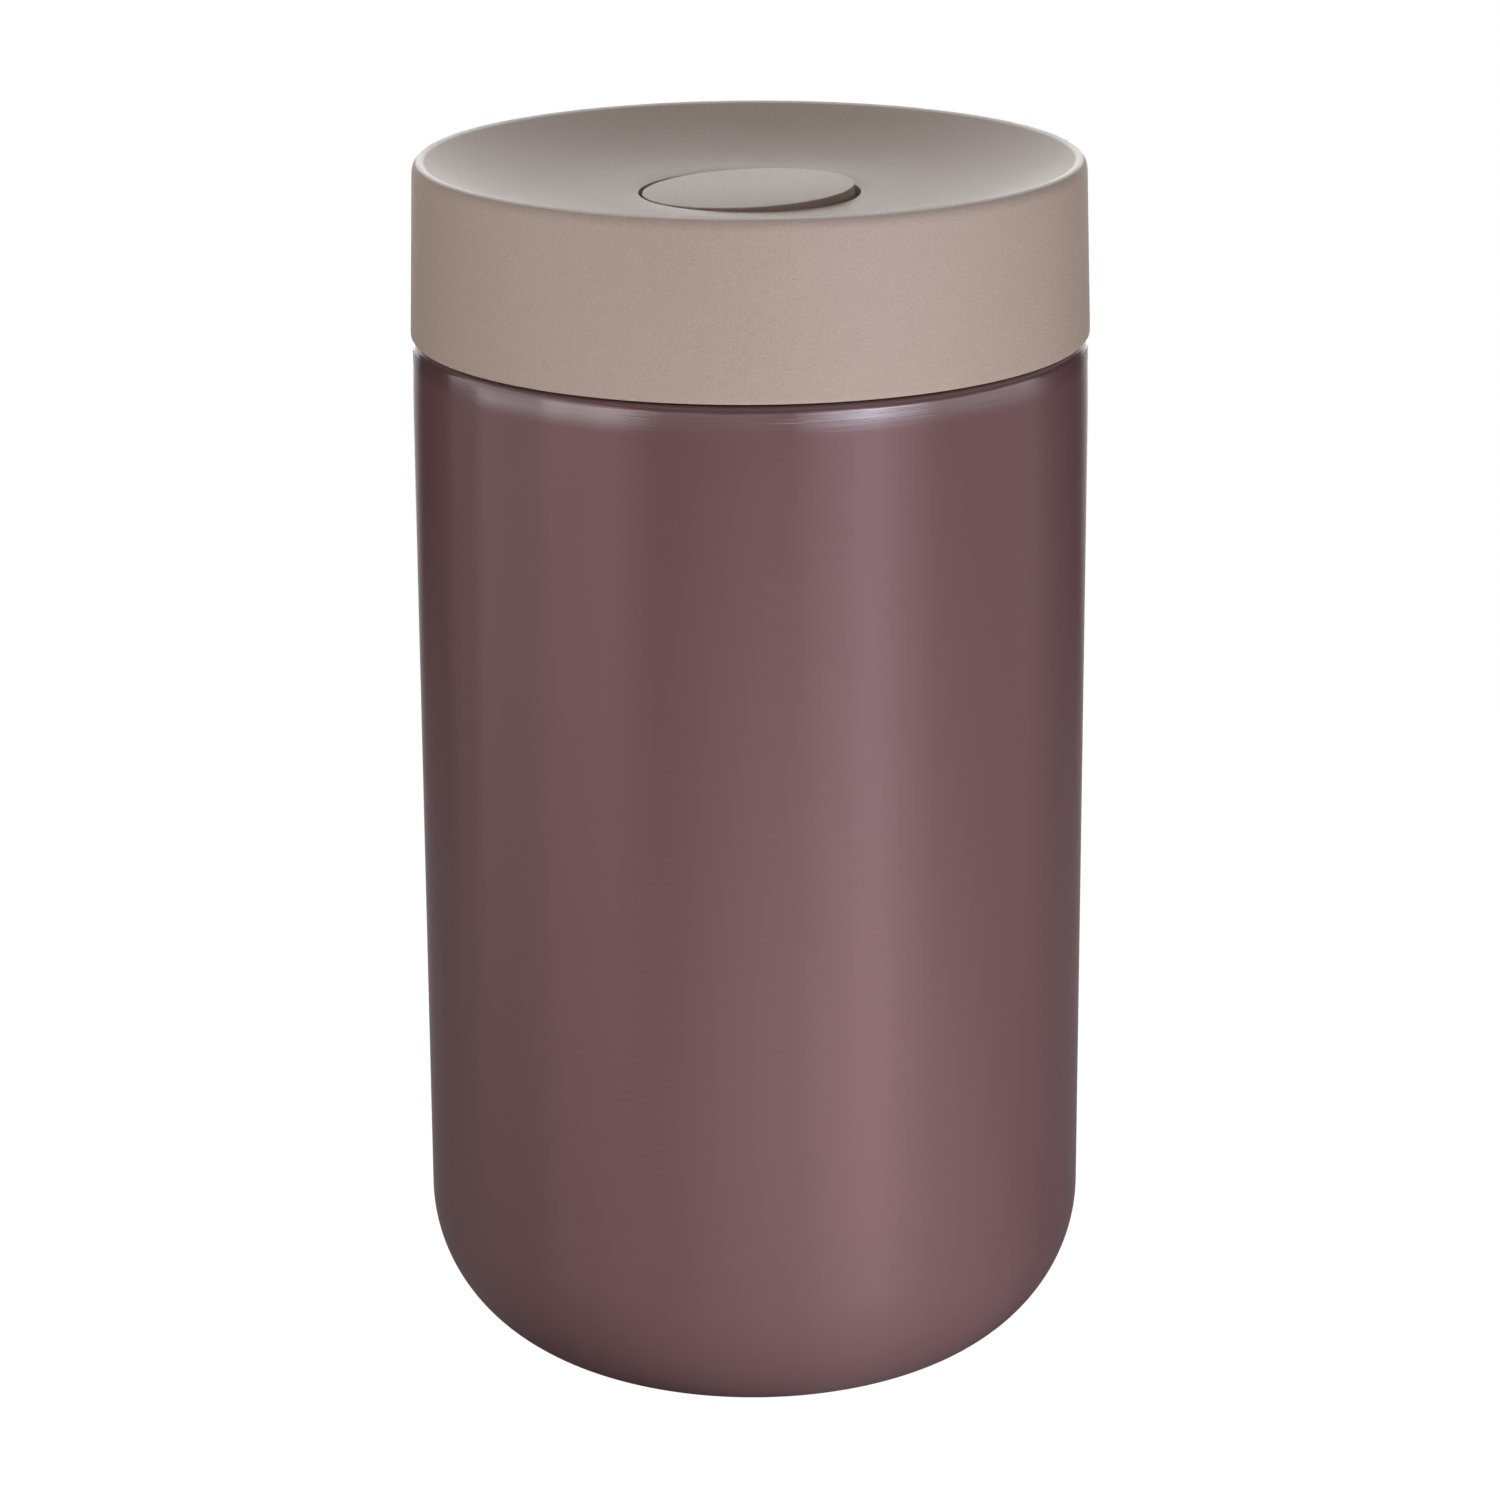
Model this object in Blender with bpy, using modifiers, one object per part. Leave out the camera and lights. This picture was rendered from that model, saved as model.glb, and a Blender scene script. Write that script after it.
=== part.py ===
"""Double-wall steel food container with a screw lid and a rocking vent button.

Units are metres, +Z is up, and the origin is the centre of the foot ring, on the table.
The vessel is built from the table up, the lid from its own lower edge and the vent from its hinge pin.
"""

from math import asin, cos, degrees, pi, radians, sin, sqrt

import bmesh
import bpy
from mathutils import Matrix, Vector

# Fits and facets
CLEARANCE = 0.0003          # left between pieces that touch
TURN_STEPS = 40             # facets round the vessel and the lid
SMALL_STEPS = 24            # facets round the small pieces
BODY_ARC_STEP = 11.25       # degrees between the points of the body's big corner
ARC_STEP = 18               # the same on hidden corners
SMALL_ARC_STEP = 30         # the same on corners under 5 mm

# Overall sizes
LID_RADIUS = 0.0475
LID_HEIGHT = 0.0246
LID_GAP = 0.0004            # slit between the lid's edge and the shoulder
BODY_HEIGHT = 0.1495        # table to shoulder
BODY_STEP = 0.0001          # the body stands this far inside the lid

# Steel vessel
OUTER_STEEL = 0.0006
INNER_STEEL = 0.0005
BODY_CORNER = 0.0231        # big rounded corner at the bottom
SEAM_RISE = 0.0014          # weld seams above the two bottom corners
SHOULDER_CORNER = 0.0011
NECK_FILLET = 0.0010
FOOT_WIDTH = 0.0022
RECESS_DEPTH = 0.0021
RECESS_DRAFT = 0.0003
VACUUM_GAP = 0.0048         # between the walls
NECK_VACUUM_GAP = 0.0021
BASE_GAP = 0.0053           # between the two bottoms
INNER_CORNER = 0.0200
LIP_FILLET = 0.0008
INNER_NECK_DROP = 0.0020    # inner neck runs on below the shoulder
INNER_BLEND = 0.0040        # radius of both bends below the inner neck

# Pieces inside the vacuum and under the base
FOIL = 0.0002
FOIL_MARGIN = 0.0040
GETTER_RADIUS = 0.0040
GETTER_HEIGHT = 0.0022
GETTER_OFFSET = 0.0130
HOLDER_STEEL = 0.0004
HOLDER_WINDOW = 0.0024
DIMPLE_RADIUS = 0.0042
DIMPLE_SLOPE = 0.0014
DIMPLE_DEPTH = 0.0012
EVACUATION_HOLE = 0.0008
SEAL_BEAD_RADIUS = 0.0019
SEAL_BEAD_HEIGHT = 0.0009
COVER_THICKNESS = 0.0007
ADHESIVE_THICKNESS = 0.0005
ADHESIVE_WIDTH = 0.0080

# Lid cap
LID_EDGE_ROUND = 0.0004
LID_EDGE_RISE = 0.0010      # height at which the lid is widest
LID_TOP_DRAFT = 0.00063     # the side leans in by this at the top
RIM_HEIGHT = 0.0033         # rounding from the side to the ridge
RIM_WIDTH = 0.0016
DISH_DEPTH = 0.00504
DISH_FLAT_RADIUS = 0.0200
DISH_POINTS = 6
LID_WALL = 0.0021
LID_TOP_WALL = 0.0019
LID_INNER_CHAMFER = 0.0012
WELD_RIB_INSET = 0.0028
WELD_RIB_WIDTH = 0.0016

# Liner, gasket and insulation
LINER_DROP = 0.0071         # ridge of the lid down to the liner's plate
LINER_PLATE = 0.0013
LINER_WALL = 0.0018
LINER_EDGE_RISE = 0.0010
PLUG_GAP = 0.0010           # plug to mouth
PLUG_WALL = 0.0016
PLUG_FLOOR = 0.0014
PLUG_CORNER = 0.0030
PLUG_BEAD = 0.0006
PLUG_BEAD_HEIGHT = 0.0008
FOAM_UNDER_WELL = 0.0062
GASKET_THICKNESS = 0.0016
GASKET_OVERHANG = 0.0008
GASKET_LIP_LENGTH = 0.0018
GASKET_LIP = 0.0004

# Screw thread, three starts
THREAD_STARTS = 3
THREAD_LEAD = 0.0120
THREAD_DEPTH = 0.00115
THREAD_ROOT_WIDTH = 0.0017
THREAD_CREST_WIDTH = 0.0008
THREAD_RADIAL_GAP = 0.00055
THREAD_MARGIN = 0.0010      # free height above and below the ridges
THREAD_BITE = 0.00035       # how far a ridge is sunk in its wall
THREAD_FADE = 20            # degrees over which a ridge runs out

# Vent button, valve and spring
BUTTON_RADIUS = 0.0148
BUTTON_THICKNESS = 0.0022
BUTTON_EDGE = 0.00015
BUTTON_GAP = 0.00065
BUTTON_TILT = 2.5           # degrees, the free side stands proud at rest
PRESS_ANGLE = 5.0           # degrees from rest to fully pressed
WELL_DEPTH = 0.0076
WELL_WALL = 0.0018
WELL_FLOOR = 0.0014
LEDGE_WIDTH = 0.00125
PIN_INSET = 0.0032          # hinge pin from the disc's edge
PIN_DROP = 0.0018           # hinge pin below the disc
PIN_RADIUS = 0.0007
LUG_RADIUS = 0.0014
LUG_WIDTH = 0.0013
LUG_SPACING = 0.0057        # between the centres of the two lugs
POST_WIDTH = 0.0014
POST_HALF_DEPTH = 0.0013
PUSH_PAD_RADIUS = 0.0026
PUSH_PAD_HEIGHT = 0.0008
STEM_RADIUS = 0.0016
STEM_CLEARANCE = 0.0004
STEM_HEAD_RADIUS = 0.0031
STEM_HEAD_HEIGHT = 0.0009
STEM_TAIL = 0.0007
BOSS_WALL = 0.0020
SPRING_WIRE = 0.00042
SPRING_TURNS = 3.5
SPRING_POINTS_A_TURN = 16
VALVE_SEAL_RADIUS = 0.0065
VALVE_SEAL_HEIGHT = 0.0012
CLIP_RADIUS = 0.0033
CLIP_HEIGHT = 0.0005

# Radii that follow, from the outside in
body_radius = LID_RADIUS - BODY_STEP
lid_inner_radius = LID_RADIUS - LID_WALL
liner_radius = lid_inner_radius - CLEARANCE
liner_bore = liner_radius - LINER_WALL
neck_radius = liner_bore - THREAD_RADIAL_GAP - THREAD_DEPTH
inner_neck_radius = neck_radius - OUTER_STEEL - NECK_VACUUM_GAP
mouth_radius = inner_neck_radius - INNER_STEEL
plug_radius = mouth_radius - PLUG_GAP
plug_bore = plug_radius - PLUG_WALL
inner_radius = body_radius - OUTER_STEEL - VACUUM_GAP
foot_radius = body_radius - BODY_CORNER
recess_radius = foot_radius - FOOT_WIDTH

# Heights that follow, above the table
seam_height = BODY_CORNER + SEAM_RISE
inner_bottom = RECESS_DEPTH + OUTER_STEEL + BASE_GAP
inner_seam_height = inner_bottom + INNER_CORNER + SEAM_RISE
lid_edge = BODY_HEIGHT + LID_GAP
lid_top = lid_edge + LID_HEIGHT
liner_top = lid_top - LINER_DROP
gasket_top = liner_top - LINER_PLATE - CLEARANCE
gasket_bottom = gasket_top - GASKET_THICKNESS
lip_top = gasket_bottom - CLEARANCE
lip_underside = lip_top - INNER_STEEL
neck_top = lip_underside - CLEARANCE

# Vent heights that follow, above the lid's lower edge
hole_height = LID_HEIGHT - DISH_DEPTH
hole_radius = BUTTON_RADIUS + BUTTON_GAP
well_floor_top = hole_height - WELL_DEPTH
well_floor_underside = well_floor_top - WELL_FLOOR
pin_x = PIN_INSET - BUTTON_RADIUS
pin_height = hole_height - BUTTON_THICKNESS - PIN_DROP
free_arm = 2 * BUTTON_RADIUS - PIN_INSET
ledge_height = (hole_height - BUTTON_THICKNESS - CLEARANCE
                - free_arm * sin(radians(PRESS_ANGLE - BUTTON_TILT)))
pad_bottom_at_rest = pin_height + (PIN_DROP - PUSH_PAD_HEIGHT) + abs(pin_x) * sin(radians(BUTTON_TILT))
stem_top = pad_bottom_at_rest - CLEARANCE
foam_bottom = well_floor_underside - CLEARANCE - FOAM_UNDER_WELL
plug_floor_top = foam_bottom - CLEARANCE
plug_underside = plug_floor_top - PLUG_FLOOR
stem_hole = STEM_RADIUS + STEM_CLEARANCE
boss_radius = stem_hole + BOSS_WALL


def clear_scene():
    """Remove whatever objects the file holds."""
    for obj in list(bpy.data.objects):
        bpy.data.objects.remove(obj, do_unlink=True)


def new_collection(name):
    """Return an empty collection linked to the scene."""
    old = bpy.data.collections.get(name)
    if old:
        bpy.data.collections.remove(old)
    collection = bpy.data.collections.new(name)
    bpy.context.scene.collection.children.link(collection)
    return collection


def material(name, colour, roughness, metallic=0.0):
    """A Principled material with a linear base colour."""
    mat = bpy.data.materials.get(name) or bpy.data.materials.new(name)
    mat.use_nodes = True
    shader = mat.node_tree.nodes["Principled BSDF"]
    shader.inputs["Base Color"].default_value = (*colour, 1.0)
    shader.inputs["Roughness"].default_value = roughness
    shader.inputs["Metallic"].default_value = metallic
    mat.diffuse_color = (*colour, 1.0)
    return mat


def arc(x, z, radius, start, stop, step=ARC_STEP):
    """Points of an arc round (x, z), angles in degrees from +X towards +Z."""
    count = max(2, round(abs(stop - start) / step))
    angles = [radians(start + (stop - start) * i / count) for i in range(count + 1)]
    return [(x + radius * cos(a), z + radius * sin(a)) for a in angles]


def add_object(name, mesh, mat, collection, parent=None):
    """Link a mesh object and give it its material and parent."""
    obj = bpy.data.objects.new(name, mesh)
    collection.objects.link(obj)
    obj.parent = parent
    if mat:
        mesh.materials.append(mat)
    return obj


def turned(name, profile, mat, collection, parent=None, closed=True, wall=0.0, steps=TURN_STEPS):
    """Turn an (x, z) profile about Z; an open one with a wall becomes a sheet shell."""
    mesh = bpy.data.meshes.new(name)
    edges = [(i, i + 1) for i in range(len(profile) - 1)]
    if closed:
        edges.append((len(profile) - 1, 0))
    mesh.from_pydata([(x, 0.0, z) for x, z in profile], edges, [])
    obj = add_object(name, mesh, mat, collection, parent)
    screw = obj.modifiers.new("Turn", "SCREW")
    screw.axis = "Z"
    screw.angle = 2 * pi
    screw.steps = steps
    screw.render_steps = steps
    screw.use_merge_vertices = True
    screw.merge_threshold = 0.000001
    screw.use_smooth_shade = True
    if wall:
        solid = obj.modifiers.new("Sheet", "SOLIDIFY")
        solid.thickness = wall
        solid.offset = -1.0
        solid.use_even_offset = True
    return obj


def boolean(obj, operand, operation):
    """Join or cut obj with operand, which is left as a hidden wire object."""
    modifier = obj.modifiers.new(operation.title(), "BOOLEAN")
    modifier.operation = operation
    modifier.solver = "EXACT"
    modifier.object = operand
    operand.hide_render = True
    operand.display_type = "WIRE"


def block(name, size, centre, collection, parent=None):
    """A box that serves as a Boolean operand."""
    mesh = bpy.data.meshes.new(name)
    bm = bmesh.new()
    bmesh.ops.create_cube(bm, size=1.0)
    bmesh.ops.scale(bm, vec=Vector(size), verts=bm.verts)
    bmesh.ops.translate(bm, vec=Vector(centre), verts=bm.verts)
    bm.to_mesh(mesh)
    bm.free()
    return add_object(name, mesh, None, collection, parent)


def rod_along_y(name, radius, length, centre, mat, collection, parent=None):
    """A cylinder whose axis runs along Y."""
    mesh = bpy.data.meshes.new(name)
    bm = bmesh.new()
    turn = Matrix.Translation(Vector(centre)) @ Matrix.Rotation(pi / 2, 4, "X")
    bmesh.ops.create_cone(bm, cap_ends=True, segments=SMALL_STEPS, radius1=radius, radius2=radius,
                          depth=length, matrix=turn)
    bm.to_mesh(mesh)
    bm.free()
    mesh.shade_smooth()
    mesh.set_sharp_from_angle(angle=radians(30))
    return add_object(name, mesh, mat, collection, parent)


def thread_ridges(name, wall_radius, outward, bottom, top, start_angle, collection, parent=None):
    """Helical ridges, one for each start, between two heights on a wall."""
    side = 1 if outward else -1
    root = wall_radius - side * THREAD_BITE
    crest = wall_radius + side * THREAD_DEPTH
    half_root = THREAD_ROOT_WIDTH / 2
    half_crest = THREAD_CREST_WIDTH / 2
    low = bottom + half_root
    span = 360 * (top - half_root - low) / THREAD_LEAD
    steps = max(4, round(span * TURN_STEPS / 360))
    section = [(root, low - half_root), (crest, low - half_crest), (crest, low + half_crest),
               (root, low + half_root)]
    mesh = bpy.data.meshes.new(name)
    bm = bmesh.new()
    for start in range(THREAD_STARTS):
        turn = Matrix.Rotation(radians(start_angle + 360 * start / THREAD_STARTS), 3, "Z")
        verts = [bm.verts.new(turn @ Vector((x, 0.0, z))) for x, z in section]
        face = bm.faces.new(verts)
        rise = Vector((0.0, 0.0, THREAD_LEAD * span / 360 / steps))
        bmesh.ops.spin(bm, geom=verts + list(face.edges) + [face], axis=(0, 0, 1), cent=(0, 0, 0),
                       dvec=rise, angle=radians(span), steps=steps)
    fade_height = THREAD_LEAD * THREAD_FADE / 360
    for vert in bm.verts:
        radius = sqrt(vert.co.x ** 2 + vert.co.y ** 2)
        inside = min(vert.co.z - low, low + THREAD_LEAD * span / 360 - vert.co.z)
        share = min(1.0, max(0.0, (inside + half_crest) / fade_height))
        if abs(radius - crest) < THREAD_BITE:
            faded = root + (crest - root) * (0.5 + 0.5 * share)
            vert.co.x *= faded / radius
            vert.co.y *= faded / radius
    bmesh.ops.recalc_face_normals(bm, faces=bm.faces)
    bm.to_mesh(mesh)
    bm.free()
    return add_object(name, mesh, None, collection, parent)


def build_outer_shell(parts, cutters, steel):
    """Outer wall from the weld seam up over the shoulder to the threaded neck."""
    profile = [(neck_radius, neck_top)]
    profile += arc(neck_radius + NECK_FILLET, BODY_HEIGHT + NECK_FILLET, NECK_FILLET, 180, 270,
                   SMALL_ARC_STEP)
    profile += arc(body_radius - SHOULDER_CORNER, BODY_HEIGHT - SHOULDER_CORNER, SHOULDER_CORNER, 90, 0,
                   SMALL_ARC_STEP)
    profile.append((body_radius, seam_height + CLEARANCE / 2))
    shell = turned("outer_shell", profile, steel, parts, closed=False, wall=OUTER_STEEL)
    bottom = BODY_HEIGHT + NECK_FILLET + THREAD_MARGIN
    top = neck_top - THREAD_MARGIN
    ridges = thread_ridges("neck_thread_ridges", neck_radius, True, bottom, top, 0, cutters)
    boolean(shell, ridges, "UNION")


def build_outer_bottom(parts, steel):
    """Drawn cup with the rounded corner, the foot ring and the sealed dimple."""
    profile = [(body_radius, seam_height - CLEARANCE / 2)]
    profile += arc(foot_radius, BODY_CORNER, BODY_CORNER, 0, -90, BODY_ARC_STEP)
    profile.append((recess_radius, 0.0))
    profile.append((recess_radius - RECESS_DRAFT, RECESS_DEPTH))
    profile.append((DIMPLE_RADIUS, RECESS_DEPTH))
    profile.append((DIMPLE_RADIUS - DIMPLE_SLOPE, RECESS_DEPTH + DIMPLE_DEPTH))
    profile.append((EVACUATION_HOLE, RECESS_DEPTH + DIMPLE_DEPTH))
    turned("outer_bottom", profile, steel, parts, closed=False, wall=OUTER_STEEL)


def inner_blend_angle():
    """Angle turned by each of the two bends that widen the inner wall, in degrees."""
    widening = inner_radius - inner_neck_radius
    return degrees(asin(min(1.0, sqrt(widening / (4 * INNER_BLEND))))) * 2


def build_inner_shell(parts, steel):
    """Inner wall of the vacuum jar: rolled lip, neck and wide belly down to the weld seam."""
    bend = inner_blend_angle()
    bend_rise = INNER_BLEND * sin(radians(bend))
    neck_foot = BODY_HEIGHT - INNER_NECK_DROP
    profile = [(neck_radius, lip_underside)]
    profile += arc(inner_neck_radius + LIP_FILLET, lip_underside - LIP_FILLET, LIP_FILLET, 90, 180,
                   SMALL_ARC_STEP)
    profile += arc(inner_neck_radius + INNER_BLEND, neck_foot, INNER_BLEND, 180, 180 + bend)
    profile += arc(inner_radius - INNER_BLEND, neck_foot - 2 * bend_rise, INNER_BLEND, bend, 0)[1:]
    profile.append((inner_radius, inner_seam_height + CLEARANCE / 2))
    turned("inner_shell", profile, steel, parts, closed=False, wall=INNER_STEEL)
    return neck_foot - 2 * bend_rise


def build_inner_bottom(parts, steel):
    """Drawn cup that closes the inner wall."""
    profile = [(inner_radius, inner_seam_height - CLEARANCE / 2)]
    profile += arc(inner_radius - INNER_CORNER, inner_bottom + INNER_CORNER, INNER_CORNER, 0, -90)
    profile.append((0.0, inner_bottom))
    turned("inner_bottom", profile, steel, parts, closed=False, wall=INNER_STEEL)


def build_vacuum_fittings(parts, belly_top, foil, getter_metal, steel, glass):
    """Foil wrap, getter with its holder, and the bead that seals the evacuation hole."""
    foil_radius = inner_radius + CLEARANCE + FOIL
    foil_profile = [(foil_radius, belly_top - FOIL_MARGIN),
                    (foil_radius, inner_bottom + INNER_CORNER + FOIL_MARGIN)]
    turned("heat_foil", foil_profile, foil, parts, closed=False, wall=FOIL)

    pill_top = inner_bottom - CLEARANCE
    pill_bottom = pill_top - GETTER_HEIGHT
    pill = [(0.0, pill_top), (GETTER_RADIUS, pill_top), (GETTER_RADIUS, pill_bottom), (0.0, pill_bottom)]
    getter = turned("getter", pill, getter_metal, parts, closed=False, steps=SMALL_STEPS)
    getter.location.x = GETTER_OFFSET

    cup_bore = GETTER_RADIUS + CLEARANCE
    cup_radius = cup_bore + HOLDER_STEEL
    cup_bottom = pill_bottom - CLEARANCE - HOLDER_STEEL
    cup = [(cup_bore, pill_top), (cup_radius, pill_top), (cup_radius, cup_bottom),
           (HOLDER_WINDOW, cup_bottom), (HOLDER_WINDOW, cup_bottom + HOLDER_STEEL),
           (cup_bore, cup_bottom + HOLDER_STEEL)]
    holder = turned("getter_holder", cup, steel, parts, steps=SMALL_STEPS)
    holder.location.x = GETTER_OFFSET

    bead_top = RECESS_DEPTH + DIMPLE_DEPTH - CLEARANCE
    bead_bottom = bead_top - SEAL_BEAD_HEIGHT
    bead = [(0.0, bead_top), (SEAL_BEAD_RADIUS, bead_top),
            (SEAL_BEAD_RADIUS * 0.9, bead_top - SEAL_BEAD_HEIGHT / 2),
            (SEAL_BEAD_RADIUS * 0.5, bead_bottom), (0.0, bead_bottom)]
    turned("vacuum_seal", bead, glass, parts, closed=False, steps=SMALL_STEPS)


def build_base_cover(parts, steel, adhesive):
    """Thin disc that hides the sealed dimple, and the adhesive ring that holds it."""
    ring_radius = recess_radius - RECESS_DRAFT - CLEARANCE
    ring_top = RECESS_DEPTH - CLEARANCE
    ring_bottom = ring_top - ADHESIVE_THICKNESS
    ring = [(ring_radius - ADHESIVE_WIDTH, ring_top), (ring_radius, ring_top), (ring_radius, ring_bottom),
            (ring_radius - ADHESIVE_WIDTH, ring_bottom)]
    turned("base_adhesive", ring, adhesive, parts)

    cover_top = ring_bottom - CLEARANCE
    cover_bottom = cover_top - COVER_THICKNESS
    disc = [(0.0, cover_top), (ring_radius, cover_top), (ring_radius, cover_bottom), (0.0, cover_bottom)]
    turned("base_cover", disc, steel, parts, closed=False)


def dish_height(radius):
    """Height of the dished top at a radius, above the lid's lower edge."""
    ridge = LID_RADIUS - LID_TOP_DRAFT - RIM_WIDTH
    share = max(0.0, radius - DISH_FLAT_RADIUS) / (ridge - DISH_FLAT_RADIUS)
    return hole_height + DISH_DEPTH * share ** 2


def dish_points(first, last, drop, count):
    """Points along the dish from one radius to another, lowered by drop."""
    radii = [first + (last - first) * i / count for i in range(count + 1)]
    return [(r, dish_height(r) - drop) for r in radii]


def build_lid_cap(parts, cutters, lid, plastic):
    """Moulded outer cap: skirt, rim, dished top and the well under the button."""
    side_top = LID_RADIUS - LID_TOP_DRAFT
    ridge = side_top - RIM_WIDTH
    rib_outer = lid_inner_radius - WELD_RIB_INSET
    rib_inner = rib_outer - WELD_RIB_WIDTH
    rib_bottom = liner_top - lid_edge + CLEARANCE
    well_radius = hole_radius - LEDGE_WIDTH
    well_outer = hole_radius + WELL_WALL
    corner_radius = lid_inner_radius - LID_INNER_CHAMFER
    corner_height = dish_height(corner_radius) - LID_TOP_WALL

    profile = [(hole_radius, hole_height)]
    profile += dish_points(DISH_FLAT_RADIUS, ridge, 0.0, DISH_POINTS)
    for step in range(1, 5):
        angle = radians(90 - 22.5 * step)
        profile.append((ridge + RIM_WIDTH * cos(angle), LID_HEIGHT - RIM_HEIGHT * (1 - sin(angle))))
    profile.append((LID_RADIUS, LID_EDGE_RISE))
    profile.append((LID_RADIUS - LID_EDGE_ROUND / 2, LID_EDGE_ROUND / 2))
    profile.append((LID_RADIUS - LID_EDGE_ROUND, 0.0))
    profile.append((lid_inner_radius, 0.0))
    profile.append((lid_inner_radius, corner_height - LID_INNER_CHAMFER))
    profile.append((corner_radius, corner_height))
    profile.append((rib_outer, dish_height(rib_outer) - LID_TOP_WALL))
    profile.append((rib_outer, rib_bottom))
    profile.append((rib_inner, rib_bottom))
    profile += dish_points(rib_inner, DISH_FLAT_RADIUS, LID_TOP_WALL, DISH_POINTS // 2)
    profile.append((well_outer, hole_height - LID_TOP_WALL))
    profile.append((well_outer, well_floor_underside))
    profile.append((stem_hole, well_floor_underside))
    profile.append((stem_hole, well_floor_top))
    profile.append((well_radius, well_floor_top))
    profile.append((well_radius, ledge_height))
    profile.append((hole_radius, ledge_height))
    cap = turned("lid_cap", profile, plastic, parts, lid)

    post_top = pin_height + POST_HALF_DEPTH
    post_bottom = well_floor_top - WELL_FLOOR / 2
    post_y = LUG_SPACING / 2 + LUG_WIDTH / 2 + CLEARANCE + POST_WIDTH / 2
    for side in (-1, 1):
        post = block("pin_post_solid", (2 * POST_HALF_DEPTH, POST_WIDTH, post_top - post_bottom),
                     (pin_x, side * post_y, (post_top + post_bottom) / 2), cutters, lid)
        boolean(cap, post, "UNION")
    reach = 2 * (post_y + POST_WIDTH)
    bore = rod_along_y("post_pin_bore", PIN_RADIUS + CLEARANCE, reach, (pin_x, 0, pin_height), None,
                       cutters, lid)
    boolean(cap, bore, "DIFFERENCE")


def build_lid_liner(parts, cutters, lid, plastic):
    """Threaded inner cap with the insulated plug, the gasket bead and the stem boss."""
    top = liner_top - lid_edge
    plate_underside = top - LINER_PLATE
    bead_top = gasket_bottom - lid_edge - GASKET_LIP_LENGTH - CLEARANCE
    bead_bottom = bead_top - PLUG_BEAD_HEIGHT
    boss_top = well_floor_underside - CLEARANCE
    profile = [(plug_bore, top), (liner_radius, top), (liner_radius, LINER_EDGE_RISE),
               (liner_bore, LINER_EDGE_RISE), (liner_bore, plate_underside), (plug_radius, plate_underside),
               (plug_radius, bead_top), (plug_radius + PLUG_BEAD, bead_top - PLUG_BEAD_HEIGHT / 4),
               (plug_radius + PLUG_BEAD, bead_bottom + PLUG_BEAD_HEIGHT / 4), (plug_radius, bead_bottom)]
    profile += arc(plug_radius - PLUG_CORNER, plug_underside + PLUG_CORNER, PLUG_CORNER, 0, -90,
                   SMALL_ARC_STEP)
    profile += [(stem_hole, plug_underside), (stem_hole, boss_top), (boss_radius, boss_top),
                (boss_radius, plug_floor_top), (plug_bore, plug_floor_top)]
    liner = turned("lid_liner", profile, plastic, parts, lid)

    # Each ridge bears on the underside of a neck ridge: its centre line lies lower by offset.
    flank_slope = (THREAD_ROOT_WIDTH - THREAD_CREST_WIDTH) / 2 / THREAD_DEPTH
    offset = THREAD_ROOT_WIDTH - flank_slope * (liner_bore - neck_radius) + CLEARANCE
    bottom = LINER_EDGE_RISE + THREAD_MARGIN
    neck_start = BODY_HEIGHT + NECK_FILLET + THREAD_MARGIN - lid_edge
    start_angle = 360 * (bottom - neck_start + offset) / THREAD_LEAD
    ridges = thread_ridges("liner_thread_ridges", liner_bore, False, bottom,
                           plate_underside - THREAD_MARGIN, start_angle, cutters, lid)
    boolean(liner, ridges, "UNION")


def build_lid_gasket(parts, lid_rise, rubber):
    """Silicone ring with a lip inside the mouth; it rises with the lid."""
    bore = plug_radius + CLEARANCE
    top = gasket_top - lid_edge
    bottom = gasket_bottom - lid_edge
    profile = [(bore, top), (neck_radius + GASKET_OVERHANG, top), (neck_radius + GASKET_OVERHANG, bottom),
               (bore + GASKET_LIP, bottom), (bore + GASKET_LIP, bottom - GASKET_LIP_LENGTH),
               (bore, bottom - GASKET_LIP_LENGTH)]
    turned("lid_gasket", profile, rubber, parts, lid_rise)


def build_lid_foam(parts, lid, foam):
    """Insulation between the liner and the cap, recessed for the well and the boss."""
    bore = boss_radius + CLEARANCE
    outer = plug_bore - CLEARANCE
    under_well = well_floor_underside - CLEARANCE
    well_side = hole_radius + WELL_WALL + CLEARANCE
    top = min(hole_height - LID_TOP_WALL, liner_top - lid_edge) - CLEARANCE
    profile = [(bore, under_well), (well_side, under_well), (well_side, top), (outer, top),
               (outer, foam_bottom), (bore, foam_bottom)]
    turned("lid_foam", profile, foam, parts, lid)


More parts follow.
